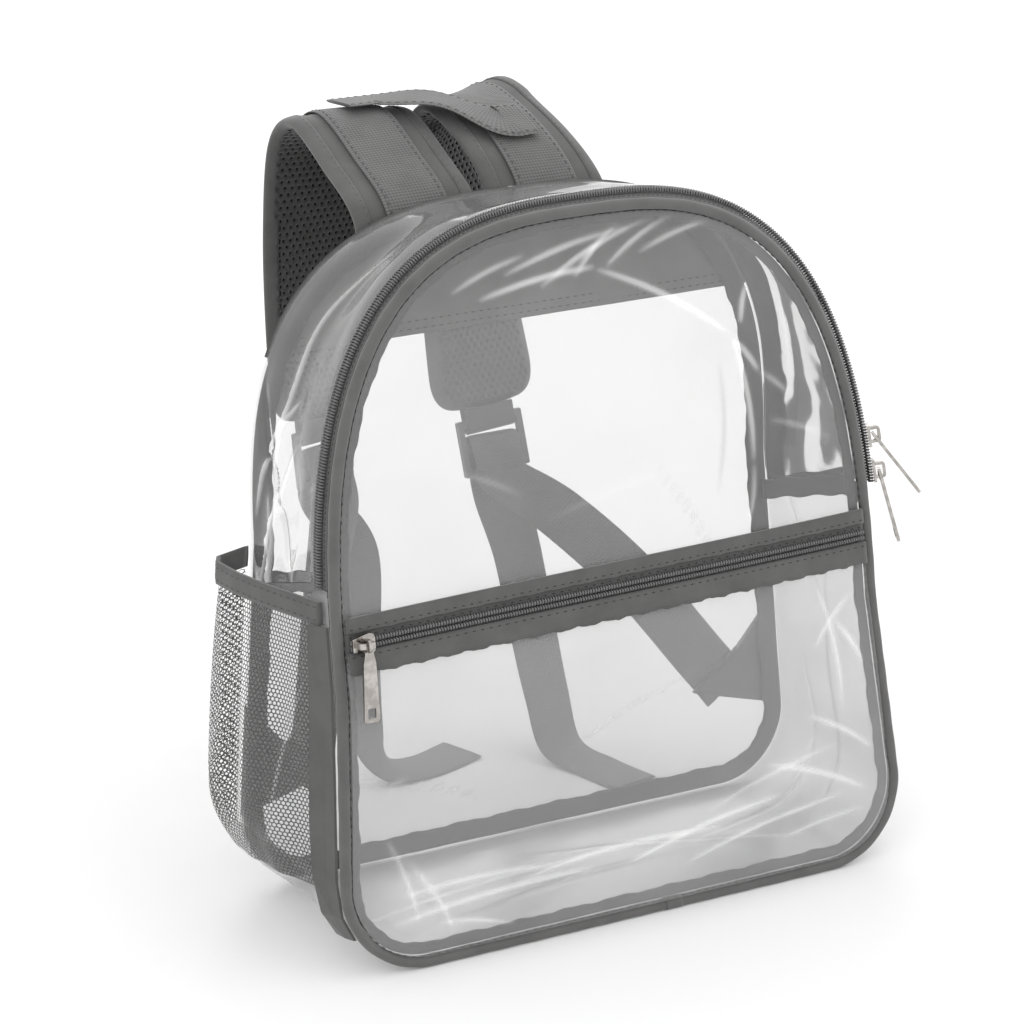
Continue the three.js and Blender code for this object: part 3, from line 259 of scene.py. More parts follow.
def bulge(deep, x, v, width, height, power=1):
    """How far a sheet held at its edges stands out between them."""
    return deep * np.maximum(1 - (2 * x / width) ** 2, 0) ** power * arc(v / height)


def front_proud(x, v):
    return bulge(FRONT_BULGE, x, v, FRONT_WIDTH, FRONT_HEIGHT)


def pocket_proud(x, v):
    return bulge(POCKET_BULGE, x, v, FRONT_WIDTH, POCKET_HEIGHT, 0.7)


def front_half_at(v):
    return FRONT.spot(FRONT.length_at(v))[0] - SEAM_INSET - CLEARANCE


# Mesh making
def run_lengths(points, axis):
    steps = np.linalg.norm(np.diff(points, axis=axis), axis=-1)
    start = np.zeros_like(np.take(steps, [0], axis=axis))
    return np.concatenate([start, np.cumsum(steps, axis=axis)], axis=axis)


def mesh_object(name, points, faces, uv=None, fold=None):
    """Object from points in millimetres, faces, corner UVs in metres and a fold shade per point."""
    mesh = bpy.data.meshes.new(name)
    mesh.from_pydata((np.asarray(points, float).reshape(-1, 3) * MM).tolist(), [], faces)
    if uv is not None:
        layer = mesh.uv_layers.new(name="UVMap")
        layer.data.foreach_set("uv", np.asarray(uv, np.float32).ravel())
    if fold is not None:
        shade = mesh.attributes.new("fold", "FLOAT", "POINT")
        shade.data.foreach_set("value", fold.astype(np.float32).ravel())
    mesh.polygons.foreach_set("use_smooth", [True] * len(mesh.polygons))
    made = bpy.data.objects.new(name, mesh)
    bpy.context.scene.collection.objects.link(made)
    return made


def grid_object(name, grid, wrap_rows=False, wrap_columns=False, caps=False, fold=None):
    """Sheet or tube through rows and columns of points, UV along the columns and the rows."""
    rows, columns = grid.shape[:2]
    closed = grid
    if wrap_columns:
        closed = np.concatenate([closed, closed[:, :1]], axis=1)
    if wrap_rows:
        closed = np.concatenate([closed, closed[:1]], axis=0)
    across = run_lengths(closed, 1)
    across = across - across[:, -1:] / 2
    along = run_lengths(closed, 0)
    along = np.broadcast_to(along.mean(axis=1, keepdims=True), along.shape)
    uv = np.stack([across, along], -1) * MM
    i, j = (k.ravel() for k in np.indices((closed.shape[0] - 1, closed.shape[1] - 1)))
    corners = [(i, j), (i, j + 1), (i + 1, j + 1), (i + 1, j)]
    faces = np.stack([(a % rows) * columns + (b % columns) for a, b in corners], 1).tolist()
    corner_uv = np.stack([uv[a, b] for a, b in corners], 1).reshape(-1, 2)
    if caps:
        faces += [list(range(columns))[::-1], [(rows - 1) * columns + k for k in range(columns)]]
        corner_uv = np.concatenate([corner_uv, np.zeros((2 * columns, 2))])
    made = mesh_object(name, grid, faces, corner_uv, fold)
    face_out(made)
    return made


def face_out(made):
    """Turn a closed mesh's faces outwards."""
    work = bmesh.new()
    work.from_mesh(made.data)
    if all(edge.is_manifold for edge in work.edges) and work.calc_volume(signed=True) < 0:
        bmesh.ops.reverse_faces(work, faces=work.faces[:])
        work.to_mesh(made.data)
    work.free()


def band_object(name, outer, inner):
    """Closed strip between an outer and an inner grid of points."""
    ring = np.concatenate([outer, inner[:, ::-1]], axis=1)
    return grid_object(name, ring, wrap_columns=True, caps=True)


def unit(vectors):
    return vectors / np.maximum(np.linalg.norm(vectors, axis=-1, keepdims=True), 1e-9)


def outward(nx, nv):
    return unit(np.stack([nx, np.zeros_like(nx), nv], -1))


def travel_along(points):
    """Direction of travel at each point of a line."""
    return unit(np.gradient(points, axis=0))


def widen(edge):
    """An edge's values as a column, to be spread over a row of places."""
    return Edge(*(values[:, None] for values in edge))


def sample(spots, lengths, values):
    """A line's three columns at lengths along it."""
    return np.stack([np.interp(spots, lengths, values[:, k]) for k in range(3)], -1)


def resample(points, normals, spacing):
    """Evenly spaced places on a line, with their normals."""
    lengths = run_lengths(points, 0)
    count = max(int(lengths[-1] / spacing), 1)
    spots = (np.arange(count) + 0.5) * lengths[-1] / count
    return sample(spots, lengths, points), unit(sample(spots, lengths, normals))


def repeated(count, size, pattern):
    """The same faces on each of a count of equal groups of points."""
    return (np.arange(count)[:, None, None] * size + pattern).reshape(-1, pattern.shape[1]).tolist()


def ring_faces(rings, corners):
    """Faces between each ring of corners and the next."""
    k = np.arange(corners)
    after = (k + 1) % corners
    starts = np.arange(rings - 1) * corners
    return np.concatenate(
        [np.stack([r + k, r + after, r + corners + after, r + corners + k], 1) for r in starts])


def stitches(name, lines, finish, length=STITCH, gap=STITCH_GAP):
    """Rows of sewn stitches, each a short thread that dips into the cloth at both ends."""
    points = []
    for line, normals in lines:
        places, out = resample(line, np.broadcast_to(normals, line.shape), length + gap)
        travel = travel_along(places)
        half = travel * length / 2
        low = out * STITCH_DIP
        wide = unit(np.cross(travel, out)) * STITCH_WIDTH / 2
        points.append(np.stack([places - half - low, places + half - low, places + wide,
                                places + out * STITCH_PROUD, places - wide, places - low * 2], 1))
    stack = np.concatenate(points)
    around = (2, 3, 4, 5, 2)
    pairs = list(zip(around, around[1:]))
    pattern = np.array([[0, a, b] for a, b in pairs] + [[1, b, a] for a, b in pairs])
    dress(mesh_object(name, stack, repeated(len(stack), 6, pattern)), finish, "grey_cloth")


def cell_centres(pitch, columns, length, start=0.0):
    """Centres of hexagonal cells in staggered rows. columns holds the number of each column."""
    rise = pitch * math.sqrt(3) / 2
    i, j = np.meshgrid(np.arange(int(length / rise)), columns, indexing="ij")
    return (j + 0.5 * (i % 2) + start) * pitch, (i + 0.5) * rise


def pierced(name, place, centres, pitch, hole, wall=0.0, corners=6):
    """Sheet of hexagonal cells with a hole in each. place takes x, length and depth."""
    share = np.arange(corners) / (corners // 6)
    base = np.floor(share)
    on_circle = lambda angle: np.stack([np.cos(angle), np.sin(angle)], -1)
    corner = lambda k: on_circle(np.pi / 3 * k + np.pi / 6)
    hexagon = corner(base) + (corner(base + 1) - corner(base)) * (share - base)[:, None]
    outer = hexagon * pitch / math.sqrt(3)
    inner = on_circle(np.arctan2(outer[:, 1], outer[:, 0])) * hole / 2
    if corners == 6:
        inner = outer * hole / pitch
    rings = [(outer, 0.0), (inner, 0.0)]
    if wall:
        rings.append((inner * 0.96, wall))
    x, length = centres[:, None, 0], centres[:, None, 1]
    points = [place(x + ring[None, :, 0], length + ring[None, :, 1], depth) for ring, depth in rings]
    faces = repeated(len(centres), corners * len(rings), ring_faces(len(rings), corners))
    return mesh_object(name, np.concatenate(points, axis=1), faces)


def dress(made, finish, slot, *replaced):
    made.data.materials.append(finish)
    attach(made, "bag")
    if replaced:
        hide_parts(*replaced)


# Shader maths
def operation(kind, swapped=False):
    """A method of Tone that puts it and other values through a maths node."""
    def joined(self, *others):
        values = (*others, self) if swapped else (self, *others)
        return self.finish.add("ShaderNodeMath", {"operation": kind}, dict(enumerate(values)))
    return joined


class Tone:
    """A shader socket that can be used in sums."""

    def __init__(self, finish, socket):
        self.finish = finish
        self.socket = socket

    __add__ = operation("ADD")
    __radd__ = operation("ADD", swapped=True)
    __mul__ = operation("MULTIPLY")
    __pow__ = operation("POWER")
    sine = operation("SINE")
    size = operation("ABSOLUTE")
    least = operation("MINIMUM")

    def between(self, low, high):
        settings = {"interpolation_type": "SMOOTHSTEP"}
        return self.finish.add("ShaderNodeMapRange", settings, {0: self, 1: low, 2: high, 3: 0.0, 4: 1.0})


class Finish:
    """A material and its nodes."""

    def __init__(self, name):
        self.material = bpy.data.materials.new(name)
        self.material.use_nodes = True
        self.tree = self.material.node_tree
        self.tree.nodes.clear()

    def add(self, kind, settings=None, inputs=None, output=0):
        made = self.tree.nodes.new(kind)
        for key, value in (settings or {}).items():
            setattr(made, key, value)
        for key, value in (inputs or {}).items():
            if isinstance(value, Tone):
                self.tree.links.new(value.socket, made.inputs[key])
            else:
                made.inputs[key].default_value = value
        return Tone(self, made.outputs[output]) if made.outputs else None

    def place(self, source):
        return self.add("ShaderNodeTexCoord", output=source)

    def part(self, vector, axis):
        return self.add("ShaderNodeSeparateXYZ", inputs={0: vector}, output=axis)

    def noise(self, scale, detail, roughness):
        inputs = {"Vector": self.place("Object"), "Scale": scale, "Detail": detail, "Roughness": roughness}
        return self.add("ShaderNodeTexNoise", inputs=inputs)

    def shade(self, name):
        return self.add("ShaderNodeAttribute", {"attribute_name": name}, output=2)

    def blend(self, share, first, second):
        inputs = {0: share, 6: first, 7: second}
        return self.add("ShaderNodeMix", {"data_type": "RGBA"}, inputs, output=2)

    def bump(self, height, strength, distance):
        inputs = {"Height": height, "Strength": strength, "Distance": distance}
        return self.add("ShaderNodeBump", inputs=inputs)

    def surface(self, **inputs):
        names = {"colour": "Base Color", "roughness": "Roughness", "metallic": "Metallic", "alpha": "Alpha",
                 "normal": "Normal", "sheen": "Sheen Weight", "specular": "Specular IOR Level"}
        return self.add("ShaderNodeBsdfPrincipled", inputs={names[k]: v for k, v in inputs.items()})

    def finish(self, shader):
        self.add("ShaderNodeOutputMaterial", inputs={"Surface": shader})
        return self.material


def grey(level, warm=0.0):
    return (level * (1 + warm), level, level * (1 - warm), 1.0)


def clear_vinyl(name, haze=0.19, grain=0.1, gloss=0.55, roughness=0.12, swell=0.28, pale=0.84):
    """Soft clear film: see-through, with a faint haze, glossy reflections and fold marks, pale where partly
    stress-whitened and partly painted highlight, dark grey where painted shade lies in the creases.
    """
    made = Finish(name)
    facing = made.add("ShaderNodeLayerWeight", inputs={"Blend": 0.5}, output=1)
    cloud = made.noise(9, 3, 0.5).between(0.42, 0.78)
    fold = made.shade("fold")
    # Fold marks thicken the film and pick its tone: pale on positive marks, partly stress-whitening and
    # partly painted highlight; dark grey on negative marks, painted shade along the creases.
    film = haze + cloud * grain + facing ** 4.0 * 0.3 + fold.size() * 0.6
    tone = made.blend(fold.between(-0.25, 0.3), grey(0.24), grey(pale))
    ripple = made.noise(16, 2, 0.45) * 0.8 + made.noise(52, 1, 0.5) * 0.16
    normal = made.bump(ripple, swell, 0.003)
    body = made.surface(colour=tone, roughness=0.4, alpha=film.least(0.85), normal=normal, specular=0.1)
    mirror = made.surface(colour=grey(0.9), roughness=roughness, metallic=1.0, normal=normal)
    share = made.add("ShaderNodeFresnel", inputs={"IOR": 1.38, "Normal": normal}) * gloss
    return made.finish(made.add("ShaderNodeMixShader", inputs={0: share, 1: body, 2: mirror}))


def woven(name, level, pitch, rib=1.0, depth=0.00018):
    """Woven cloth on the piece's own UV, plain weave with an uneven dye."""
    made = Finish(name)
    uv = made.place("UV")
    wave = math.pi / (pitch * MM)
    along = (made.part(uv, 0) * wave).sine()
    across = (made.part(uv, 1) * (wave / rib)).sine()
    weave = along * across
    thread = weave * 0.5 + 0.5
    dye = made.noise(60, 4, 0.6)
    shade = thread * 0.14 + dye * 0.86
    mottled, warm = 0.12, 0.012
    dark = grey(level * (1 - mottled * 1.6), warm)
    colour = made.blend(shade.between(0.2, 0.8), dark, grey(level * (1 + mottled), warm))
    normal = made.bump(thread + made.noise(700, 2, 0.5) * 0.2, 0.3, depth)
    return made.finish(made.surface(colour=colour, roughness=0.82, normal=normal, specular=0.25, sheen=0.25))


def ribbed(name, level, pitch):
    """Strap webbing: slanting ribs either side of each yarn, and firm edges."""
    made = Finish(name)
    uv = made.place("UV")
    wave = 2 * math.pi / (pitch * MM)
    across = made.part(uv, 0)
    along = made.part(uv, 1)
    chevron = (across * (wave * 0.5)).sine().size()
    ribs = (along * wave + chevron * 1.8).sine() * 0.5 + 0.5
    yarn = chevron * 0.5 + ribs * 0.5
    shade = yarn * 0.6 + made.noise(90, 4, 0.6) * 0.4
    colour = made.blend(shade.between(0.25, 0.7), grey(level * 0.6, 0.01), grey(level * 1.25, 0.01))
    normal = made.bump(yarn + made.noise(900, 2, 0.5) * 0.25, 0.7, 0.0003)
    return made.finish(made.surface(colour=colour, roughness=0.72, normal=normal, specular=0.3, sheen=0.2))


def bright_nickel(name):
    made = Finish(name)
    wear = made.noise(260, 4, 0.6)
    colour = made.blend(wear.between(0.35, 0.75), (0.36, 0.34, 0.32, 1), (0.58, 0.55, 0.52, 1))
    normal = made.bump(made.noise(500, 3, 0.5), 0.12, 0.0001)
    return made.finish(made.surface(colour=colour, metallic=1.0, roughness=wear * 0.16 + 0.1, normal=normal))


def moulded(name, level):
    made = Finish(name)
    grain = made.noise(1400, 2, 0.5)
    colour = made.blend(made.noise(40, 3, 0.5), grey(level * 0.9), grey(level * 1.1))
    normal = made.bump(grain, 0.25, 0.00008)
    return made.finish(made.surface(colour=colour, roughness=grain * 0.12 + 0.42, normal=normal))


def speckled(name, level, noise, roughness, specular):
    """Thread or nylon with a fine uneven tone."""
    made = Finish(name)
    colour = made.blend(made.noise(*noise), grey(level * 0.8), grey(level * 1.25))
    return made.finish(made.surface(colour=colour, roughness=roughness, specular=specular))


def plain_pale(name, level, roughness):
    made = Finish(name)
    return made.finish(made.surface(colour=grey(level), roughness=roughness, specular=0.1))


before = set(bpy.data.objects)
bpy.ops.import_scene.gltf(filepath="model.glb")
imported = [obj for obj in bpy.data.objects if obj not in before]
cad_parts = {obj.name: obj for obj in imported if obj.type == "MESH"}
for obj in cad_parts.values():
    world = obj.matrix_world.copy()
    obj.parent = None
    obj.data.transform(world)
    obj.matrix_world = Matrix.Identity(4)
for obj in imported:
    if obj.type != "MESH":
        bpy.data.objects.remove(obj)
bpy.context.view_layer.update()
bpy.ops.object.select_all(action="DESELECT")

VINYL_FILM = clear_vinyl("clear_vinyl")
CROWN_FILM = clear_vinyl("crown_vinyl", 0.14, 0.26, gloss=1.1, roughness=0.07, swell=0.9, pale=0.92)
BASE_FILM = clear_vinyl("base_vinyl", 0.26, 0.22, gloss=0.22, roughness=0.3, swell=0.2, pale=0.92)
PIPING_CLOTH = woven("piping_cloth", 0.11, 0.75)
BINDING_CLOTH = woven("binding_cloth", 0.095, 0.8)
PAD_CLOTH = woven("pad_cloth", 0.09, 0.8)
YOKE_CLOTH = woven("yoke_cloth", 0.17, 0.8, depth=0.00006)
TAPE_CLOTH = woven("tape_cloth", 0.085, 0.6, rib=1.6)
WEBBING = ribbed("strap_webbing_weave", 0.105, 1.5)
SPACER_MESH = woven("spacer_mesh", 0.05, 0.6)
# The spacer core is a real inner layer, coloured near-black as painted shade inside the mesh holes.
SPACER_CORE_SHADE = plain_pale("spacer_core_shade", 0.015, 0.9)
NET_THREAD = woven("net_thread", 0.075, 0.5)
ZIP_NYLON = speckled("zip_nylon", 0.14, (300, 3, 0.6), 0.38, 0.5)
NICKEL = bright_nickel("bright_nickel")
PLASTIC = moulded("grey_plastic_moulded", 0.13)
THREAD = speckled("grey_thread", 0.07, (900, 2, 0.5), 0.65, 0.3)
DARK_THREAD = speckled("dark_thread", 0.03, (900, 2, 0.5), 0.65, 0.3)


# Folds in the film
def folds(table, x, v):
    """Height and marks of folds. A row has both ends, the rise, the spread and the mark: positive for a pale
    line, partly stress-whitening and partly painted highlight, negative for a dark line of painted shade in
    the crease.
    """
    height = np.zeros(np.broadcast(x, v).shape)
    fold_light_and_shade_mark = np.zeros_like(height)
    for x0, v0, x1, v1, rise, spread, pale in table:
        run = np.array([x1 - x0, v1 - v0], float)
        length = np.hypot(*run)
        share = ((x - x0) * run[0] + (v - v0) * run[1]) / length**2
        off = ((x - x0) * -run[1] + (v - v0) * run[0]) / length
        bow = 0.04 * length * arc(share)
        fade = arc(share) ** 0.6
        ridge = fade * np.exp(-np.abs(off - bow) / spread)
        height += rise * ridge
        fold_light_and_shade_mark += pale * fade * np.exp(-(((off - bow) / 1.2) ** 2))
    return height, fold_light_and_shade_mark


def ripple(x, v, seed, size, wave):
    """Slow uneven swell of a loose sheet."""
    rng = np.random.default_rng(seed)
    total = np.zeros(np.broadcast(x, v).shape)
    for _ in range(7):
        turn = rng.uniform(0, np.pi)
        scale = wave * rng.uniform(0.6, 1.6)
        phase = rng.uniform(0, 2 * np.pi)
        total += np.sin(2 * np.pi * (x * np.cos(turn) + v * np.sin(turn)) / scale + phase)
    return size * total / 3


def panel_grid(outline, inset, low, high, columns, spacing):
    """Rows of x and v that fill a panel between two heights, following its edge."""
    edge = outline.at(np.arange(outline.corner_start, outline.total + 0.01, spacing))
    x = np.maximum(edge.x - edge.nx * inset, 0)
    v = edge.v - edge.nv * inset
    keep = (v >= low) & (v <= high)
    clear = len(v) // 8
    side_at = lambda height: np.interp(height, v[clear:], x[clear:])
    if high < v.max():
        x, v = np.append(x[keep], side_at(high)), np.append(v[keep], high)
    elif low > v.min():
        x, v = np.insert(x[keep], 0, side_at(low)), np.insert(v[keep], 0, low)
    else:
        x, v = x[keep], v[keep]
    share = np.linspace(-1, 1, columns)
    return x[:, None] * share[None], np.repeat(v[:, None], columns, 1), x


def edge_fade(x, v, half, low, high, reach=14):
    """Falls to nothing at a panel's seams."""
    side = smooth((half[:, None] - np.abs(x)) / reach)
    return side * smooth((v - low) / reach) * smooth((high - v) / reach)


def film(name, points, fold, finish, replaced):
    dress(grid_object(name, points, fold=fold), finish, "clear_vinyl", replaced)


# In the fold tables the last column is the fold mark: positive for a pale line, partly stress-whitening and
# partly painted highlight, negative for a dark line of painted shade.
FRONT_FOLDS = [
    (3, 278, 65, 242, 0.9, 1.6, 0.6),
    (65, 242, 71, 187, 0.9, 1.6, 0.55),
    (71, 187, 66, 160, 0.6, 1.6, 0.3),
    (66, 240, 77, 225, -0.9, 1.4, 0.5),
    (70, 246, 74, 262, 0.8, 1.4, 0.5),
    (77, 225, 92, 212, 0.7, 1.4, 0.25),
    (88, 262, 92, 214, 0.7, 1.6, 0.2),
    (58, 232, 52, 176, 0.5, 1.8, -0.2),
    (-52, 272, 3, 279, 0.9, 1.8, 0.6),
    (-40, 281, 20, 293, 1.2, 1.6, 0.5),
    (-24, 274, 32, 296, -1.1, 1.5, 0.55),
    (-8, 276, 16, 296, 1.1, 1.5, 0.5),
    (8, 278, 44, 297, -1.0, 1.5, 0.45),
    (24, 282, 62, 292, 0.9, 1.6, 0.35),
    (-64, 276, -30, 288, 0.9, 1.6, 0.35),
    (80, 204, 112, 190, 0.6, 2.0, 0.2),
    (-70, 204, -40, 190, 0.4, 3.0, 0.12),
    (-30, 178, 40, 190, 0.4, 3.0, 0.12),
]


def front_panel():
    x, v, half = panel_grid(FRONT, SEAM_INSET, 0, FRONT_HEIGHT, 230, 1.3)
    fade = edge_fade(x, v, half, 5, FRONT_HEIGHT - 5)
    height, fold_light_and_shade_mark = folds(FRONT_FOLDS, x, v)
    swell = ripple(x, v, 3, 0.9, 110)
    behind = -front_proud(x, v) - (height + swell) * fade
    film("front_panel_film", front_point(x, v, behind), fold_light_and_shade_mark * fade, VINYL_FILM, "front_panel")


POCKET_FOLDS = [
    (98, 122, 104, 74, 0.9, 1.6, 0.3),
    (104, 109, 118, 90, 0.9, 1.6, 0.4),
    (92, 100, 116, 118, -0.8, 1.4, 0.3),
    (84, 76, 122, 52, 0.8, 1.8, 0.35),
    (60, 60, 118, 34, 0.9, 2.0, 0.4),
    (30, 44, 100, 60, -0.8, 2.0, 0.25),
    (-112, 34, -40, 36, 0.9, 1.6, 0.45),
    (-116, 22, -20, 30, 1.0, 1.6, 0.5),
    (-60, 32, 40, 36, -0.9, 1.5, 0.5),
    (-10, 28, 70, 44, 0.9, 1.8, 0.45),
    (20, 22, 104, 36, 0.9, 1.8, 0.35),
    (-116, 60, -104, 20, 0.8, 1.8, 0.3),
    (-108, 50, -88, 14, 0.8, 1.6, 0.35),
    (-96, 20, -60, 12, -0.8, 1.6, 0.35),
    (70, 22, 116, 26, 0.7, 1.8, 0.25),
]


def front_pocket_panel():
    x, v, half = panel_grid(FRONT, SEAM_INSET, 0, POCKET_HEIGHT, 230, 1.3)
    fade = edge_fade(x, v, half, 5, POCKET_HEIGHT - 1, 10)
    height, fold_light_and_shade_mark = folds(POCKET_FOLDS, x, v)
    swell = ripple(x, v, 8, 0.8, 80)
    proud = front_proud(x, v) + pocket_proud(x, v)
    ahead = LAYER_ONE + VINYL / 2 + proud + (height + swell) * fade
    raised = v + pocket_lift(x) * smooth((v - 60) / (POCKET_HEIGHT - 60))
    film("front_pocket_film", front_point(x, raised, -ahead), fold_light_and_shade_mark * fade, VINYL_FILM, "front_pocket_panel")


BACK_FOLDS = [
    (-90, 40, -20, 20, 1.2, 2.4, 0.4),
    (20, 30, 100, 60, 1.2, 2.4, 0.3),
    (70, 160, 110, 90, 1.0, 2.4, 0.4),
    (-108, 200, -84, 120, 1.0, 2.4, 0.3),
]


def back_panel():
    top = BACK_HEIGHT - YOKE_DROP
    x, v, half = panel_grid(BACK, 0.3, 0, top + 2, 80, 3)
    fade = edge_fade(x, v, half, 0, top)
    height, fold_light_and_shade_mark = folds(BACK_FOLDS, x, v)
    ahead = bulge(BACK_DISH, x, v, BACK_WIDTH, top) - (height + ripple(x, v, 5, 0.6, 120)) * fade * 0.6
    film("back_panel_film", back_point(x, v, ahead), fold_light_and_shade_mark * fade, VINYL_FILM, "back_panel")


def back_yoke():
    low = BACK_HEIGHT - YOKE_DROP
    x, v, half = panel_grid(BACK, 0, low, BACK_HEIGHT, 60, 3)
    swell = ripple(x, v, 12, 0.35, 60) * edge_fade(x, v, half, low - 20, BACK_HEIGHT)
    outer = back_point(x, v, swell - YOKE_THICKNESS / 2)
    inner = back_point(x, v, swell + YOKE_THICKNESS / 2)
    made = grid_object("back_yoke_cloth", np.concatenate([outer, inner[::-1]], axis=0), wrap_rows=True)
    dress(made, YOKE_CLOTH, "grey_cloth", "back_yoke")
    share = np.linspace(-0.97, 0.97, 60) * float(half[0])
    lift = YOKE_THICKNESS / 2 + 0.1
    lines = []
    for up in (2.5, 6):
        lines.append((back_point(share, low + up, -lift), BACKWARD))
        lines.append((back_point(share, low + up, lift), FORWARD))
    stitches("yoke_stitches", lines, DARK_THREAD)


# Gussets
CRUMPLES = [
    (0.7, 0.45, 0.07, 5),
    (0.82, 0.6, 0.06, 4),
    (0.93, 0.4, 0.06, 3),
    (0.2, 0.55, 0.08, 2.5),
]


def crumple_depth(along, across):
    edge = arc((across - LEVEL_SHARE) / (1 - LEVEL_SHARE))
    total = np.zeros(np.broadcast(along, across).shape)
    for spot, middle, spread, deep in CRUMPLES:
        away = np.hypot(along - spot, (across - middle) * 0.25) / spread
        total += deep * edge * np.exp(-(away**2))
    return total


CROWN_FOLDS = [
    (300, 20, 520, 45, 2.4, 1.8, 0.6),
    (330, 66, 450, 30, -2.2, 1.8, -0.8),
    (360, 60, 470, 18, -2.0, 1.6, 0.5),
    (400, 24, 470, 60, 2.4, 1.6, 0.8),
    (420, 50, 500, 30, 2.2, 1.6, 0.8),
    (430, 70, 520, 44, -2.2, 1.8, -0.8),
    (440, 15, 560, 62, 2.2, 1.8, 0.7),
    (470, 24, 540, 34, -2.2, 1.6, -0.7),
    (500, 60, 600, 30, -2.2, 1.6, 0.7),
    (520, 22, 590, 55, 2.2, 1.6, 0.8),
    (540, 66, 610, 50, -2.0, 1.6, -0.8),
    (560, 60, 640, 26, 2.0, 1.8, 0.7),
    (600, 20, 660, 52, -1.8, 1.8, -0.6),
    (380, 30, 430, 62, 2.2, 1.6, 0.7),
    (90, 20, 200, 50, 1.2, 2.0, 0.3),
    (140, 55, 240, 30, -1.0, 2.0, -0.2),
]
BASE_FOLDS = [
    (40, 30, 120, 70, 0.9, 2.0, 0.4),
    (150, 40, 300, 60, 0.9, 2.0, 0.5),
    (200, 30, 340, 44, -0.8, 2.0, -0.4),
    (260, 70, 380, 30, -0.9, 2.0, 0.4),
    (330, 50, 470, 66, 0.9, 2.0, 0.5),
    (380, 40, 520, 34, -0.8, 2.0, -0.4),
    (470, 30, 560, 70, 0.9, 2.0, 0.4),
]


def gusset_grid(lengths, columns, front_start, raised):
    share = np.linspace(0, 1, columns)[None, :, None]
    front = FRONT.at(lengths(FRONT))
    back = BACK.at(lengths(BACK))
    start = on_front(front, VINYL / 2, front_start)[:, None]
    bend = on_front(front, VINYL / 2, LEVEL_END)[:, None]
    end = on_back(back, VINYL / 2, YOKE_THICKNESS / 2 + CLEARANCE)[:, None]
    points = bent(start, bend, end, share, LEVEL_SHARE)
    nx = front.nx[:, None] + (back.nx - front.nx)[:, None] * share[..., 0]
    nv = front.nv[:, None] + (back.nv - front.nv)[:, None] * share[..., 0]
    normals = outward(nx, nv)
    across = np.broadcast_to(share[..., 0], nx.shape)
    if raised:
        wide = widen(front)
        near = zip_lift(front_start + (LEVEL_END - front_start) * across / LEVEL_SHARE, wide)
        lift = np.where(across > LEVEL_SHARE, rise_at(wide) * (1 - across), near)
        spot = np.linspace(0, 1, len(points))[:, None]
        points = points + normals * (lift - crumple_depth(spot, across))[..., None]
    return points, normals, across


def gusset(name, grid, table, seed, finish, replaced):
    points, normals, across = grid
    along = run_lengths(points, 0).mean(axis=1, keepdims=True)
    depth = run_lengths(points, 1)
    height, fold_light_and_shade_mark = folds(table, along, depth)
    fade = smooth((across - 0.06) / 0.2) * smooth((1 - across) / 0.15)
    swell = ripple(along, depth, seed, 0.9, 75)
    shaped = points + normals * ((height + swell) * fade)[..., None]
    shaped[..., 2] = np.maximum(shaped[..., 2], FLOOR_GAP)
    film(name, shaped, fold_light_and_shade_mark * fade, finish, replaced)


def over_arch(outline, count=GUSSET_ROWS):
    """Lengths from one end of the zip over the arch to the other."""
    end = outline.zip_end + CLEARANCE / 2
    return np.linspace(end, 2 * outline.total - outline.zip_end - CLEARANCE / 2, count)


def round_base(outline):
    end = outline.zip_end - CLEARANCE / 2
    return np.linspace(-end, end, GUSSET_ROWS)


def gussets():
    crown = gusset_grid(over_arch, 80, CROWN_FRONT, True)
    gusset("top_gusset_film", crown, CROWN_FOLDS, 21, CROWN_FILM, "top_gusset")
    base = gusset_grid(round_base, 60, TAPE_FRONT, False)
    gusset("lower_gusset_film", base, BASE_FOLDS, 34, BASE_FILM, "lower_gusset")


# Piping and seam bindings
def whole_loop(outline, count):
    return outline.at(np.linspace(-outline.total, outline.total, count, endpoint=False))


def front_piping():
    edge = whole_loop(FRONT, 420)
    turn = np.linspace(0, 2 * np.pi, 14, endpoint=False)[None]
    wobble = 1 + 0.03 * np.sin(np.arange(420) * 0.9)[:, None]
    cover = lambda wide, size: on_front(
        wide, PIPING_RADIUS * (1 + np.cos(turn) * size), PIPING_RADIUS * np.sin(turn) * size)
    made = grid_object("front_piping_cover", cover(widen(edge), wobble), wrap_rows=True, wrap_columns=True)
    dress(made, PIPING_CLOTH, "grey_cloth", "front_piping")
    joint = widen(FRONT.at(np.linspace(14, 22, 8)))
    lap = grid_object("piping_lap", cover(joint, 1.12), wrap_columns=True, caps=True)
    dress(lap, PIPING_CLOTH, "grey_cloth")
    seam = on_front(edge, 2 * PIPING_RADIUS + 0.2, -1.0)
    stitches("piping_stitches", [(seam, FORWARD)], DARK_THREAD)


def loop_binding(word, outline, place, inset, near, width, facing):
    """Flat tape inside a seam, folded over the cut edges, sewn near its free edge."""
    count = 360
    edge = whole_loop(outline, count)
    wide = widen(edge)
    across = np.linspace(0, 1, 6)[None]
    turn = np.linspace(0, 1, count, endpoint=False)[:, None] * 2 * np.pi
    inward = inset + width * across + (0.35 * np.sin(turn * 41) + 0.25 * np.sin(turn * 97)) * across**2
    depth = near + 0.15 + 0.1 * np.sin(turn * 23)
    outer = place(wide, inward, depth)
    inner = place(wide, inward, depth + BINDING_THICKNESS - 0.3)
    ring = np.concatenate([outer, inner[:, ::-1]], axis=1)
    made = grid_object(word + "_tape", ring, wrap_rows=True, wrap_columns=True)
    dress(made, BINDING_CLOTH, "grey_cloth", word)
    seam = place(edge, inset + width * 0.78, near + 0.1)
    stitches(word + "_tape_stitches", [(seam, facing)], THREAD)


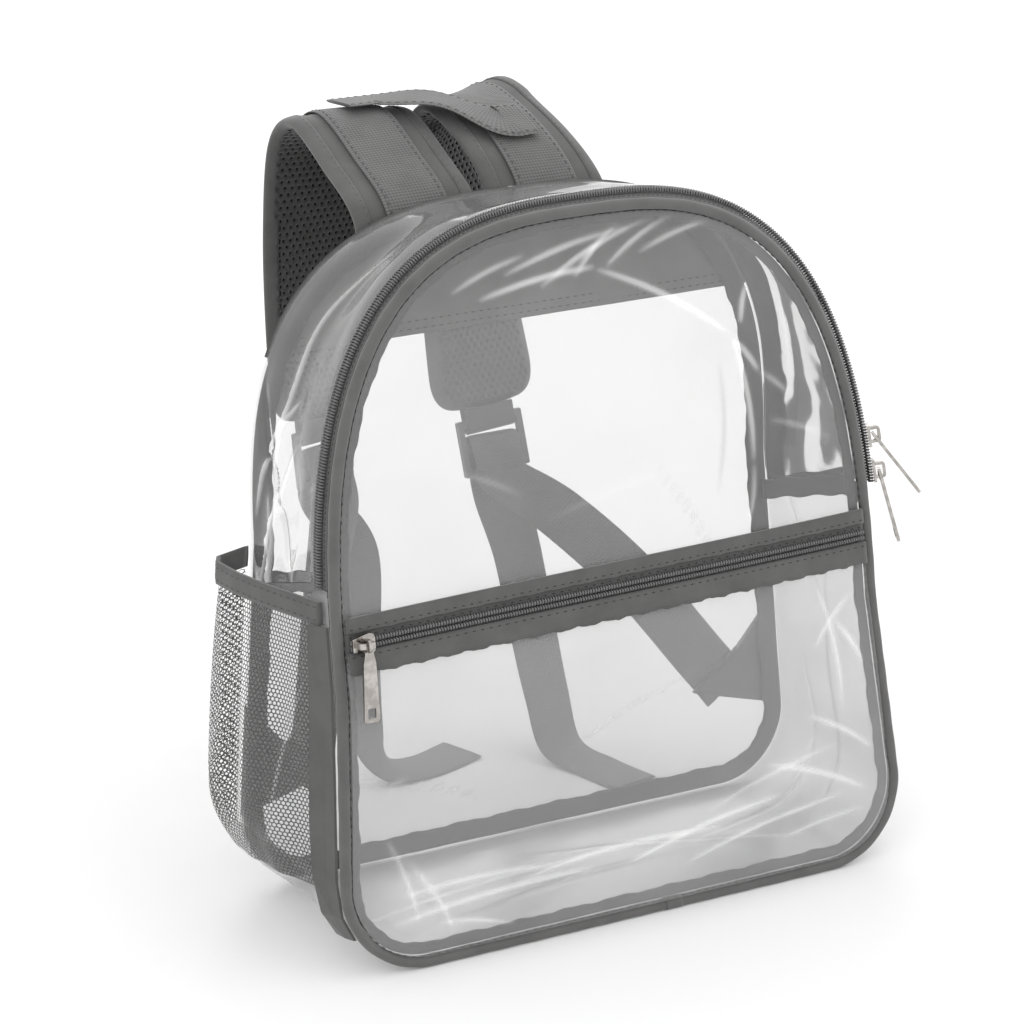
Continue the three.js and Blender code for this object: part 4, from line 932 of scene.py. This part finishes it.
def side_bindings():
    first = VINYL + TAPE_THICKNESS + 2 * CLEARANCE
    up = np.linspace(-BINDING_WIDTH / 2, BINDING_WIDTH / 2, 8)
    share = np.linspace(0, 1, 40)[:, None, None]
    back_ahead = YOKE_THICKNESS / 2 + 2 * CLEARANCE + BINDING_THICKNESS
    for side, word in ((1, "right"), (-1, "left")):
        near_edge = FRONT.at(side * (FRONT.zip_end + up))
        far_edge = BACK.at(side * (BACK.zip_end + up))
        layers = []
        for inset in (first + 0.1, first + BINDING_THICKNESS - 0.1):
            near = on_front(near_edge, inset, TAPE_FRONT + BINDING_THICKNESS)[None]
            bend = on_front(near_edge, inset, LEVEL_END)[None]
            far = on_back(far_edge, inset, back_ahead)[None]
            layers.append(bent(near, bend, far, share, BINDING_LEVEL))
            layers[-1][..., 2] += 0.5 * np.sin(share[..., 0] * 19)
        made = band_object("side_binding_tape_" + word, *layers)
        dress(made, BINDING_CLOTH, "grey_cloth", "side_binding_" + word)
        lines = [(layers[0][:, k], (float(side), 0.0, 0.0)) for k in (1, 6)]
        stitches("side_binding_stitches_" + word, lines, THREAD)


# Zips
TOOTH_PROFILE = ((0.06, 0.1, 0.55), (0.22, 0.62, 0.9), (0.6, 0.72, 1.0), (0.9, 0.4, 0.8), (1.0, 0.0, 0.5))


def teeth(name, middles, out, replaced):
    """Two rows of coil turns side by side along a line of places, with a groove between them."""
    travel = travel_along(middles)
    across = unit(np.cross(out, travel))
    rows = []
    for side in (1, -1):
        sections = []
        for share, up, size in TOOTH_PROFILE:
            place = middles + across * (side * COIL_WIDTH / 2 * share) + out * COIL_HEIGHT * up
            place = place + travel * (TOOTH_PITCH * TOOTH_SLANT * share)
            thick = travel * TOOTH_PITCH * 0.44 * size
            rise = out * COIL_HEIGHT * 0.3 * size
            sections.append(np.stack([place + thick, place + rise, place - thick, place - rise], 1))
        rows.append(np.stack(sections, 1).reshape(-1, 3))
    last = 4 * (len(TOOTH_PROFILE) - 1)
    ends = np.array([[3, 2, 1, 0], [last, last + 1, last + 2, last + 3]])
    pattern = np.concatenate([ring_faces(len(TOOTH_PROFILE), 4), ends])
    faces = repeated(2 * len(middles), 4 * len(TOOTH_PROFILE), pattern)
    dress(mesh_object(name, np.concatenate(rows), faces), ZIP_NYLON, "zip_coil", replaced)


def main_zip():
    wide = widen(FRONT.at(over_arch(FRONT, 300)))
    behind = TAPE_FRONT + TAPE_WIDTH * np.linspace(0, 1, 10)[None]
    inset = VINYL + 2 * CLEARANCE
    outer = on_front(wide, inset - zip_lift(behind, wide), behind)
    inner = on_front(wide, inset + TAPE_THICKNESS - zip_lift(behind, wide), behind)
    dress(band_object("main_zip_tape_weave", outer, inner), TAPE_CLOTH, "grey_cloth", "main_zip_tape")
    length = 2 * (FRONT.total - FRONT.zip_end)
    edge = FRONT.at(FRONT.zip_end + np.arange(TOOTH_PITCH, length, TOOTH_PITCH))
    out = outward(edge.nx, edge.nv)
    middles = on_front(edge, VINYL - zip_lift(COIL_MIDDLE, edge), COIL_MIDDLE)
    teeth("main_zip_teeth", middles, out, "main_zip_coil")
    behind = COIL_MIDDLE - (COIL_WIDTH / 2 + 0.9)
    seam = on_front(edge, inset - zip_lift(behind, edge) - 0.1, behind)
    stitches("main_zip_stitches", [(seam, out)], DARK_THREAD, length=1.7, gap=0.6)


def across_front(name, low, high, near, thickness, finish, replaced, wave=0.0, columns=5):
    share = np.linspace(-1, 1, 130)[:, None]
    up = np.linspace(0, 1, columns)[None]
    half = front_half_at((low + high) / 2 + POCKET_LIFT)
    x = share * half
    wobble = wave * (np.sin(share * 61) + 0.6 * np.sin(share * 137 + 1)) * (1 - up) ** 2
    v = low + (high - low) * up + wobble
    proud = front_proud(x, v) + pocket_proud(x, np.minimum(v, POCKET_HEIGHT))
    raised = v + pocket_lift(x)
    outer = front_point(x, raised, -proud - near - thickness)
    inner = front_point(x, raised, -proud - near)
    dress(band_object(name, outer, inner), finish, "grey_cloth", replaced)


def pocket_zip():
    across_front("pocket_tape_weave", TAPE_LOW, TAPE_HIGH, LAYER_ONE, TAPE_THICKNESS, TAPE_CLOTH,
                 "pocket_zip_tape", columns=9)
    half_top = POCKET_TOP_BINDING / 2
    across_front("pocket_top_binding_tape", TAPE_HIGH - half_top, TAPE_HIGH + half_top, LAYER_TWO,
                 BINDING_THICKNESS, BINDING_CLOTH, "pocket_top_binding", wave=0.15)
    low = TAPE_LOW - POCKET_LOWER_BINDING * 0.6
    across_front("pocket_lower_binding_tape", low, low + POCKET_LOWER_BINDING, LAYER_TWO + CLEARANCE,
                 BINDING_THICKNESS, BINDING_CLOTH, "pocket_lower_binding", wave=0.35)
    out = np.array([0.0, -math.cos(FRONT_LEAN), math.sin(FRONT_LEAN)])
    half = front_half_at(POCKET_COIL_MIDDLE + POCKET_LIFT)
    x = np.arange(-half + TOOTH_PITCH, half, TOOTH_PITCH)
    base = LAYER_ONE + TAPE_THICKNESS + CLEARANCE
    ahead = front_proud(x, POCKET_COIL_MIDDLE) + base
    middles = front_point(x, POCKET_COIL_MIDDLE + pocket_lift(x), -ahead)
    teeth("pocket_zip_teeth", middles, out, "pocket_zip_coil")
    x = np.linspace(-half, half, 120)
    lines = []
    for v, near in (
        (TAPE_HIGH - 1.6, LAYER_TWO + BINDING_THICKNESS),
        (TAPE_LOW + 2.0, LAYER_TWO + CLEARANCE + BINDING_THICKNESS),
        (POCKET_COIL_MIDDLE + COIL_WIDTH / 2 + 0.8, LAYER_ONE + TAPE_THICKNESS),
    ):
        proud = front_proud(x, v) + pocket_proud(x, min(v, POCKET_HEIGHT))
        lines.append((front_point(x, v + pocket_lift(x), -proud - near - 0.05), out))
    stitches("pocket_zip_stitches", lines, DARK_THREAD)


# Bottle pocket
BOTTLE_ROWS = np.array([
    (0, 0, 0),
    (0.07, 0.58, 0.5),
    (0.16, 0.7, 0.86),
    (0.34, 0.62, 1.04),
    (0.56, 0.44, 0.9),
    (0.78, 0.2, 0.48),
    (0.97, 0, 0),
])


def on_left_side(along, z, off):
    foot = lambda outline, lean: -np.interp(z / math.cos(lean), outline.v[25:], outline.s[25:])
    start = on_back(BACK.at(foot(BACK, BACK_LEAN)), 0, BINDING_THICKNESS)
    end = on_front(FRONT.at(foot(FRONT, FRONT_LEAN)), 0, TAPE_FRONT)
    point = start + (end - start) * np.asarray(along)[..., None]
    point[..., 0] -= off
    return point


def net_off(along, up):
    rim = np.interp(along, BOTTLE_ROWS[:, 0], BOTTLE_ROWS[:, 1])
    body = np.interp(along, BOTTLE_ROWS[:, 0], BOTTLE_ROWS[:, 2])
    swell = np.sin(np.pi / 2 * np.minimum(up / 0.42, 1))
    share = body + (rim - body) * np.clip(up, 0, 1) ** 3
    return 3 * CLEARANCE + NET_THICKNESS / 2 + BOTTLE_REACH * share * swell


def bottle_pocket():
    low = BOTTLE_TOP - BOTTLE_RIM
    tall = low - CLEARANCE - BOTTLE_FOOT

    def net_place(u, w, depth):
        along = np.clip(u / NET_REACH, 0, 1) * BOTTLE_ROWS[-1, 0]
        up = np.clip(w / tall, 0, 1)
        ends = np.sin(np.pi * along)
        drape = 1.8 * np.sin(along * 19 + up * 5) * ends * np.sin(np.pi * np.clip(up, 0.02, 0.98))
        drape += 0.9 * np.sin(along * 31 - up * 9 + 1) * ends * (1 - up)
        return on_left_side(along, BOTTLE_FOOT + tall * up, net_off(along, up) + drape - depth)

    u, w = cell_centres(NET_PITCH, np.arange(int(NET_REACH / NET_PITCH)), tall, start=0.25)
    centres = np.stack([u.ravel(), w.ravel()], -1)
    made = pierced("bottle_pocket_netting", net_place, centres, NET_PITCH, NET_PITCH - NET_STRAND)
    dress(made, NET_THREAD, "dark_mesh", "bottle_pocket_net")

    along = np.linspace(0, BOTTLE_ROWS[-1, 0], 70)[:, None]
    along, z = np.broadcast_arrays(along, low + BOTTLE_RIM * np.linspace(0, 1, 6)[None])
    base = net_off(along, np.ones_like(along)) - NET_THICKNESS / 2
    swell = 0.35 * np.sin(np.pi * (z - low) / BOTTLE_RIM)
    inner = on_left_side(along, z, base + 0.1 - swell * 0.5)
    outer = on_left_side(along, z, base + 2 * BINDING_THICKNESS - 0.3 + swell)
    dress(band_object("bottle_rim_tape", outer, inner), BINDING_CLOTH, "grey_cloth", "bottle_pocket_rim")
    lines = [(outer[:, k] + [-0.1, 0, 0], (-1.0, 0.0, 0.0)) for k in (1, 4)]
    stitches("bottle_rim_stitches", lines, THREAD)


# Straps
ROOT_UP = 1 - YOKE_DROP * 0.64 / BACK_HEIGHT
LEFT_ROUTE = [
    (-0.64, 0.008, ROOT_UP, 0),
    (-0.66, 0.035, 0.972, 0),
    (-0.66, 0.3, 1.022, -4),
    (-0.65, 0.68, 1.064, -6),
    (-0.65, 0.94, 1.015, 0),
    (-0.68, 1.04, 0.878, 8),
    (-0.7, 1.07, 0.731, 14),
    (-0.72, 1.04, 0.629, 17),
    (-0.72, 1.02, 0.578, 18),
]
RIGHT_ROUTE = [
    (0.37, 0.008, ROOT_UP, 0),
    (0.36, 0.035, 0.972, 2),
    (0.35, 0.3, 1.034, 14),
    (0.35, 0.72, 1.064, 30),
    (0.34, 0.92, 1.02, 32),
    (0.38, 0.94, 0.878, 22),
    (0.44, 0.9, 0.731, 12),
    (0.48, 0.86, 0.629, 4),
    (0.5, 0.83, 0.575, 0),
]
LEFT_TAIL = [
    (-0.58, 0.86, 0.36, 6),
    (-0.62, 0.8, 0.19, 14),
    (-0.58, 0.78, 0.075, 28),
    (-0.42, 0.77, 0.014, 58),
    (-0.12, 0.79, 0, 84),
    (0.28, 0.88, 0, 112),
]
RIGHT_TAIL = [
    (0.74, 0.84, 0.33, 2),
    (0.84, 0.8, 0.19, 4),
    (0.9, 0.74, 0.085, 8),
    (0.9, 0.6, 0.014, 14),
    (1.02, 0.38, 0, 12),
    (1.12, 0.12, 0, 10),
]
ROOT_BEHIND = YOKE_THICKNESS / 2 + 2 * CLEARANCE + WEBBING_THICKNESS + PAD_THICKNESS / 2


def route_row(across, behind, up, turn, width=STRAP_WIDTH, lift=0.0):
    """Row of a band's stations from a row of one of the tables above."""
    z = lift + BACK_HEIGHT * up
    y = back_plane_y(z) + ROOT_BEHIND + STRAP_REACH * behind
    return (STRAP_SPACING * across, y, z, turn, 0, width)


def column_at(rows, place):
    """Smooth values of a table's columns at a place between its rows."""
    last = len(rows) - 1
    i = np.minimum(np.floor(place).astype(int), last - 1)
    f = (place - i)[:, None]
    a, b, c, d = (rows[np.clip(i + k, 0, last)] for k in (-1, 0, 1, 2))
    return 0.5 * (2 * b + (c - a) * f + (2 * a - 5 * b + 4 * c - d) * f**2 + (3 * b - a - 3 * c + d) * f**3)


def band_frame(centre, across, width):
    travel = travel_along(centre)
    across = unit(across - travel * np.sum(across * travel, -1, keepdims=True))
    return Band(centre, across, travel, unit(np.cross(across, travel)), width)


def band_stations(rows, steps):
    """Band through rows of x, y, z, turn, roll and width."""
    rows = np.array(rows, float)
    values = column_at(rows, np.linspace(0, len(rows) - 1, steps + 1))
    turn, roll = np.radians(values[:, 3:5]).T
    across = np.stack([np.cos(roll) * np.cos(turn), np.cos(roll) * np.sin(turn), np.sin(roll)], -1)
    return band_frame(values[:, :3], across, values[:, 5])


def soft_band(band, reach):
    """The same band with its twist spread over more of its length."""
    weight = np.hanning(2 * reach + 1)
    weight /= weight.sum()
    spread = lambda values: np.stack(
        [np.convolve(np.pad(values[:, k], reach, mode="edge"), weight, mode="valid") for k in range(3)], -1)
    return band_frame(spread(band.centre), spread(band.across), band.width)


def taper(share):
    left = np.minimum(np.maximum(1 - share, 0) / 0.13, 1)
    return (0.45 + 0.55 * np.sqrt(1 - (1 - left) ** 2)) * (1 - STRAP_NARROWING * share)


def cut_band(band, first, last):
    return Band(*(values[first:last + 1] for values in band))


def band_grid(band, across, lift):
    """Points of a band at offsets across it and off its face. Both may change along it."""
    across = np.atleast_2d(across)[..., None]
    lift = np.atleast_2d(lift)[..., None]
    return band.centre[:, None] + band.across[:, None] * across + band.face[:, None] * lift


def seam_along(band, across, lift):
    return band_grid(band, across, lift)[:, 0]


def pad_profile(half, across):
    edge = np.clip(np.abs(across) / half, 0, 1)
    return PAD_THICKNESS / 2 * np.maximum(1 - edge**4.5, 0) ** 0.45


def strap(word, route):
    band = band_stations([route_row(*row) for row in route], PAD_STEPS)
    share = np.linspace(0, 1, PAD_STEPS + 1)[:, None]
    half = STRAP_WIDTH * taper(share) / 2
    spread = np.sin(np.linspace(-1, 1, 25) * np.pi / 2)[None]
    across = spread * (half - 0.6)
    puff = pad_profile(half, across)
    channel = 0.5 * np.exp(-(((np.abs(across) - STRAP_WEBBING / 2 - 1.5) / 1.6) ** 2))
    top = band_grid(band, across, puff - channel)
    low = band_grid(band, across, -puff)
    made = band_object("strap_pad_" + word + "_foam", top, low)
    dress(made, PAD_CLOTH, "grey_cloth", "strap_pad_" + word)
    strap_edging(word, band, half)
    strap_lining(word, band, half)
    strap_web(word, band)
    return band


def strap_edging(word, band, half):
    """Binding tape folded over each edge of the pad."""
    turn = np.linspace(-1, 1, 13)[None]
    reach = np.abs(turn)
    for edge, label in ((-1, "inner"), (1, "outer")):
        across = edge * (half + 0.35 - np.maximum(reach - 0.25, 0) / 0.75 * EDGING_WIDTH)
        lift = np.sign(turn) * (pad_profile(half, across) * np.minimum(reach / 0.25, 1))
        skin = band_grid(band, across, lift + np.sign(turn) * EDGING_PROUD)
        under = band_grid(band, across - edge * 0.4, lift * 0.9)
        dress(band_object(f"strap_edging_{label}_{word}", skin, under), BINDING_CLOTH, "grey_cloth")
        seam = edge * (half - EDGING_WIDTH * 0.78)
        proud = pad_profile(half, seam) + EDGING_PROUD
        lines = [(seam_along(band, seam, proud), band.face), (seam_along(band, seam, -proud), -band.face)]
        stitches(f"strap_edging_stitches_{label}_{word}", lines, THREAD)


def strap_lining(word, band, half):
    """Spacer mesh on the side that meets the shoulder: round holes over a core, a real inner layer coloured
    near-black as painted shade inside the holes.
    """
    lengths = run_lengths(band.centre, 0)
    room_at = lambda s: np.interp(s, lengths, half[:, 0])

    def place(a, s, depth):
        s = np.clip(s, 0, lengths[-1])
        room = room_at(s)
        a = np.clip(a, -(room - 3.2), room - 3.2)
        lift = -(pad_profile(room, a) + CLEARANCE + 1.1 - depth)
        columns = (band.centre, band.across, band.face)
        centre, across, face = (sample(s, lengths, values) for values in columns)
        return centre + across * a[..., None] + face * lift[..., None]

    wide = int(STRAP_WIDTH / HOLE_PITCH) + 1
    a, s = cell_centres(HOLE_PITCH, np.arange(wide) - wide // 2, lengths[-1])
    keep = np.abs(a) < room_at(s) - 4.5
    centres = np.stack([a[keep], s[keep]], -1)
    hole = HOLE_PITCH * HOLE_SHARE
    made = pierced("strap_mesh_" + word, place, centres, HOLE_PITCH, hole, wall=HOLE_DEPTH, corners=12)
    dress(made, SPACER_MESH, "dark_mesh", "strap_lining_" + word)
    # Core under the holes: a real inner layer, near-black as painted shade in the holes.
    across = np.linspace(-1, 1, 15)[None] * (half - 3)
    low = -pad_profile(half, across)
    layers = [band_grid(band, across, low - depth) for depth in (0.1, 0.35)]
    dress(band_object("strap_mesh_core_" + word, *layers), SPACER_CORE_SHADE, "dark_mesh")


def web(name, band, width, replaced, lift=0.0):
    """Webbing along a band, with rounded edges."""
    spread = np.sin(np.linspace(-1, 1, 11) * np.pi / 2)[None]
    across = spread * width / 2
    round_edge = WEBBING_THICKNESS / 2 * np.maximum(1 - np.abs(spread) ** 8, 0) ** 0.5
    outer = band_grid(band, across, lift + round_edge)
    made = band_object(name, outer, band_grid(band, across, lift - round_edge))
    dress(made, WEBBING, "grey_webbing", replaced)


def strap_web(word, band):
    lift = PAD_THICKNESS / 2 + CLEARANCE + WEBBING_THICKNESS / 2
    short = cut_band(band, 0, WEB_LAST)
    web("strap_web_" + word, short, STRAP_WEBBING, "strap_webbing_" + word, lift - 0.15)
    top = lift + WEBBING_THICKNESS / 2 - 0.1
    off = STRAP_WEBBING / 2 - 2.2
    lines = [(seam_along(short, across, top), short.face) for across in (-off, off)]
    stitches("strap_web_stitches_" + word, lines, THREAD)


def tab_edge():
    seam = BACK.spot(BACK.length_at(TAB_MIDDLE))[0]
    slant = math.radians(TAB_SLANT)
    return seam - TAB_REACH, TAB_MIDDLE, math.cos(slant), math.sin(slant)


def anchor_tab(word, side):
    """Folded cloth triangle in the back seam, sewn round its edge and crossed over the webbing."""
    x, v, wx, wv = tab_edge()
    half = LOWER_WEBBING / 2 + 1.5
    edge = BACK.at(np.array([BACK.length_at(TAB_HIGH), BACK.length_at(TAB_LOW)]))
    seam = np.stack([edge.x - edge.nx * TAB_INSET, edge.v - edge.nv * TAB_INSET], -1)
    free = np.array([(x + wx * half, v + wv * half), (x - wx * half, v - wv * half)])
    steps = 12
    share = np.linspace(0, 1, steps)
    i, j = np.meshgrid(share, share, indexing="ij")
    near = seam[0] + (seam[1] - seam[0]) * i[..., None]
    far = free[0] + (free[1] - free[0]) * i[..., None]
    flat = near + (far - near) * j[..., None]
    behind = VINYL / 2 + CLEARANCE + TAB_THICKNESS / 2
    puff = 0.5 * np.sin(np.pi * i) * np.sin(np.pi * j)
    place = lambda spots, ahead: back_point(side * spots[..., 0], spots[..., 1], ahead)
    outer = place(flat, -behind - TAB_THICKNESS / 2 - puff * 0.4)
    inner = place(flat, -behind + TAB_THICKNESS / 2)
    made = band_object("anchor_tab_cloth_" + word, outer, inner)
    dress(made, BINDING_CLOTH, "grey_cloth", "anchor_tab_" + word)
    lines = [near[:, 0] + (far[:, 0] - near[:, 0]) * reach for reach in (0.78, 0.93)]
    for k in (0, -1):
        side_line = near[k] + (far[k] - near[k]) * np.linspace(0.05, 0.93, steps)[:, None]
        lines.append(side_line * 0.94 + flat.mean(axis=(0, 1)) * 0.06)
    both = []
    for line in lines:
        both.append((place(line, -behind - TAB_THICKNESS / 2 - 0.3), BACKWARD))
        both.append((place(line, -behind + TAB_THICKNESS / 2 + 0.1), FORWARD))
    stitches("anchor_tab_stitches_" + word, both, THREAD)


def lower_strap(word, side, band, tail):
    """Webbing from the anchor tab up round the adjuster's middle bar and down to its free end."""
    anchor_tab(word, side)
    across = band.across[-1]
    down = band.travel[-1]
    out = np.cross(across, down)
    top = band.centre[-1] + down * CLEARANCE
    beside = ADJUSTER_THICKNESS / 2 + CLEARANCE + WEBBING_THICKNESS / 2
    bend = beside + CLEARANCE
    middle_top = HANG_LOOP + ADJUSTER_BAR + (ADJUSTER_LENGTH - 3 * ADJUSTER_BAR) / 2
    bar_end = HANG_LOOP + ADJUSTER_LENGTH
    bar_low = bar_end - ADJUSTER_BAR
    at = lambda low, off: top + down * low + out * off
    row = lambda p, turn, roll: (p[0], p[1], p[2], turn, roll, LOWER_WEBBING)
    heading = math.degrees(math.atan2(across[1], across[0]))
    x, v, wx, wv = tab_edge()
    behind_tab = VINYL / 2 + CLEARANCE + TAB_THICKNESS + CLEARANCE + WEBBING_THICKNESS / 2
    on_tab = lambda along, lift: back_point(side * (x - wv * along), v + wx * along, -behind_tab - lift)
    leaves = on_tab(8, 2)
    foot = at(bar_end + 3, -beside - 4.4)
    between = lambda share, sag: leaves + (foot - leaves) * share + np.array([0, 0, -sag])
    roll = side * TAB_SLANT
    rows = [
        row(on_tab(-13, 0), 0, roll),
        row(on_tab(-1, 0.2), 0, roll),
        row(leaves, 0, roll),
        row(between(0.35, -8), heading * 0.2, roll * 0.95),
        row(between(0.72, -7), heading * 0.6, roll * 0.7),
        row(foot, heading, roll * 0.25),
        row(at(bar_low, -beside - 2.6), heading, 0),
    ]
    for angle in map(math.radians, (0, 45, 90, 135, 180)):
        rows.append(row(at(middle_top - bend * math.sin(angle), -bend * math.cos(angle)), heading, 0))
    rows.append(row(at(bar_low, beside + 1), heading, 0))
    rows.append(row(at(bar_end + 8, beside + 1.2), heading, 0))
    rows += [route_row(*spot, LOWER_WEBBING, WEBBING_THICKNESS / 2 + CLEARANCE) for spot in tail]
    webbing = band_stations(rows, len(rows) * 12)
    web("lower_web_" + word, webbing, LOWER_WEBBING, "lower_webbing_" + word)
    end = cut_band(webbing, len(webbing.centre) - 9, len(webbing.centre) - 1)
    hem = band_grid(end, np.linspace(-11, 11, 9), WEBBING_THICKNESS / 2 + 0.05)
    stitches("tail_hem_stitches_" + word, [(hem[k], end.face[k]) for k in (2, 4)], THREAD)
    on = lambda a, b: back_point(
        side * (x - wv * a + wx * b), v + wx * a + wv * b, -behind_tab - WEBBING_THICKNESS / 2 - 0.1)
    corner = [on(-11, -10), on(-11, 10), on(-2, 10), on(-2, -10)]
    box = []
    for a, b in ((0, 1), (1, 2), (2, 3), (3, 0), (0, 2), (1, 3)):
        box.append((corner[a] + (corner[b] - corner[a]) * np.linspace(0, 1, 8)[:, None], BACKWARD))
    stitches("anchor_box_stitches_" + word, box, THREAD, length=2.2, gap=0.8)


def haul_handle(left, right):
    lift = PAD_THICKNESS / 2 + 2 * WEBBING_THICKNESS + 3 * CLEARANCE

    def seat(band, index, shift):
        p = band.centre[index] + band.face[index] * lift + band.across[index] * shift
        travel = band.travel[index]
        turn = math.degrees(math.atan2(travel[1], travel[0]))
        return [p[0], p[1], p[2], turn, math.degrees(math.asin(travel[2])), HANDLE_WIDTH]

    start = [seat(left, HANDLE_LEFT, STRAP_WEBBING * share) for share in (-0.15, 0.15, 0.5)]
    end = [seat(right, HANDLE_RIGHT, STRAP_WEBBING * share) for share in (-0.3, 0, 0.25)]
    middle = [(a + b) / 2 for a, b in zip(start[2], end[0])]
    middle[2] += HANDLE_RISE
    middle[4] *= 0.4
    band = soft_band(band_stations(start + [middle] + end, 72), 7)
    web("haul_handle_web", band, HANDLE_WIDTH, "haul_handle")
    off = HANDLE_WIDTH / 2 - 2
    lines = [(seam_along(band, across, sign * (WEBBING_THICKNESS / 2)), band.face * sign)
             for across in (-off, off) for sign in (1, -1)]
    stitches("haul_handle_stitches", lines, THREAD)


# Hard pieces and a few plain ones keep their solids, the hard ones with softened edges
def keep_solids(nodes, finish, edge=0.0):
    for node in nodes:
        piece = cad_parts[node]
        piece.data.materials.clear()
        piece.data.materials.append(finish)
        if edge:
            piece.modifiers.new("weld", "WELD").merge_threshold = 0.00001
            bevel = piece.modifiers.new("edges", "BEVEL")
            bevel.width = edge * MM
            bevel.segments = 2
            bevel.limit_method = "ANGLE"
            bevel.angle_limit = math.radians(35)


front_panel()
front_pocket_panel()
back_panel()
back_yoke()
gussets()
front_piping()
loop_binding("front_binding", FRONT, on_front, SEAM_INSET, VINYL / 2 + CLEARANCE, FRONT_BINDING_WIDTH,
             FORWARD)
loop_binding("back_binding", BACK, on_back, VINYL + CLEARANCE, YOKE_THICKNESS / 2 + CLEARANCE, BINDING_WIDTH,
             BACKWARD)
side_bindings()
main_zip()
pocket_zip()
bottle_pocket()
left_band = strap("left", LEFT_ROUTE)
right_band = strap("right", RIGHT_ROUTE)
lower_strap("left", -1, left_band, LEFT_TAIL)
lower_strap("right", 1, right_band, RIGHT_TAIL)
haul_handle(left_band, right_band)
keep_solids(("main_slider_upper", "main_slider_lower", "pocket_slider"), NICKEL, 0.3)
keep_solids(("main_puller_upper", "main_puller_lower", "pocket_puller"), NICKEL, 0.35)
keep_solids(("strap_adjuster_left", "strap_adjuster_right"), PLASTIC, 0.6)
keep_solids(("strap_loop_left", "strap_loop_right"), WEBBING)
keep_solids(("bottle_pocket_edging",), BINDING_CLOTH)


# Stage
def aimed(name, data, place, target):
    """Light or camera at a place, turned to a target."""
    made = bpy.data.objects.new(name, data)
    bpy.context.scene.collection.objects.link(made)
    made.location = place
    made.rotation_mode = "QUATERNION"
    made.rotation_quaternion = (Vector(target) - Vector(place)).to_track_quat("-Z", "Y")
    return made


def stage():
    bpy.ops.mesh.primitive_plane_add(size=30, location=(0, 0, 0))
    floor = bpy.context.object
    floor.name = "floor"
    floor.data.materials.append(plain_pale("pale_floor", 0.82, 0.7))
    world = bpy.data.worlds.new("soft_room")
    bpy.context.scene.world = world
    world.use_nodes = True
    background = world.node_tree.nodes["Background"]
    background.inputs[0].default_value = (1, 1, 1, 1)
    background.inputs[1].default_value = ROOM_STRENGTH
    for name, place, size, power in LIGHTS:
        data = bpy.data.lights.new(name, "AREA")
        data.energy = power
        data.size = size
        aimed(name, data, place, LIGHT_TARGET)
    lens = bpy.data.cameras.new("camera")
    lens.lens = CAMERA_LENS
    lens.sensor_width = 36
    lens.clip_start = 0.05
    lens.clip_end = 100
    bpy.context.scene.camera = aimed("camera", lens, CAMERA_PLACE, CAMERA_TARGET)
    bpy.context.scene.view_settings.view_transform = "Standard"


stage()
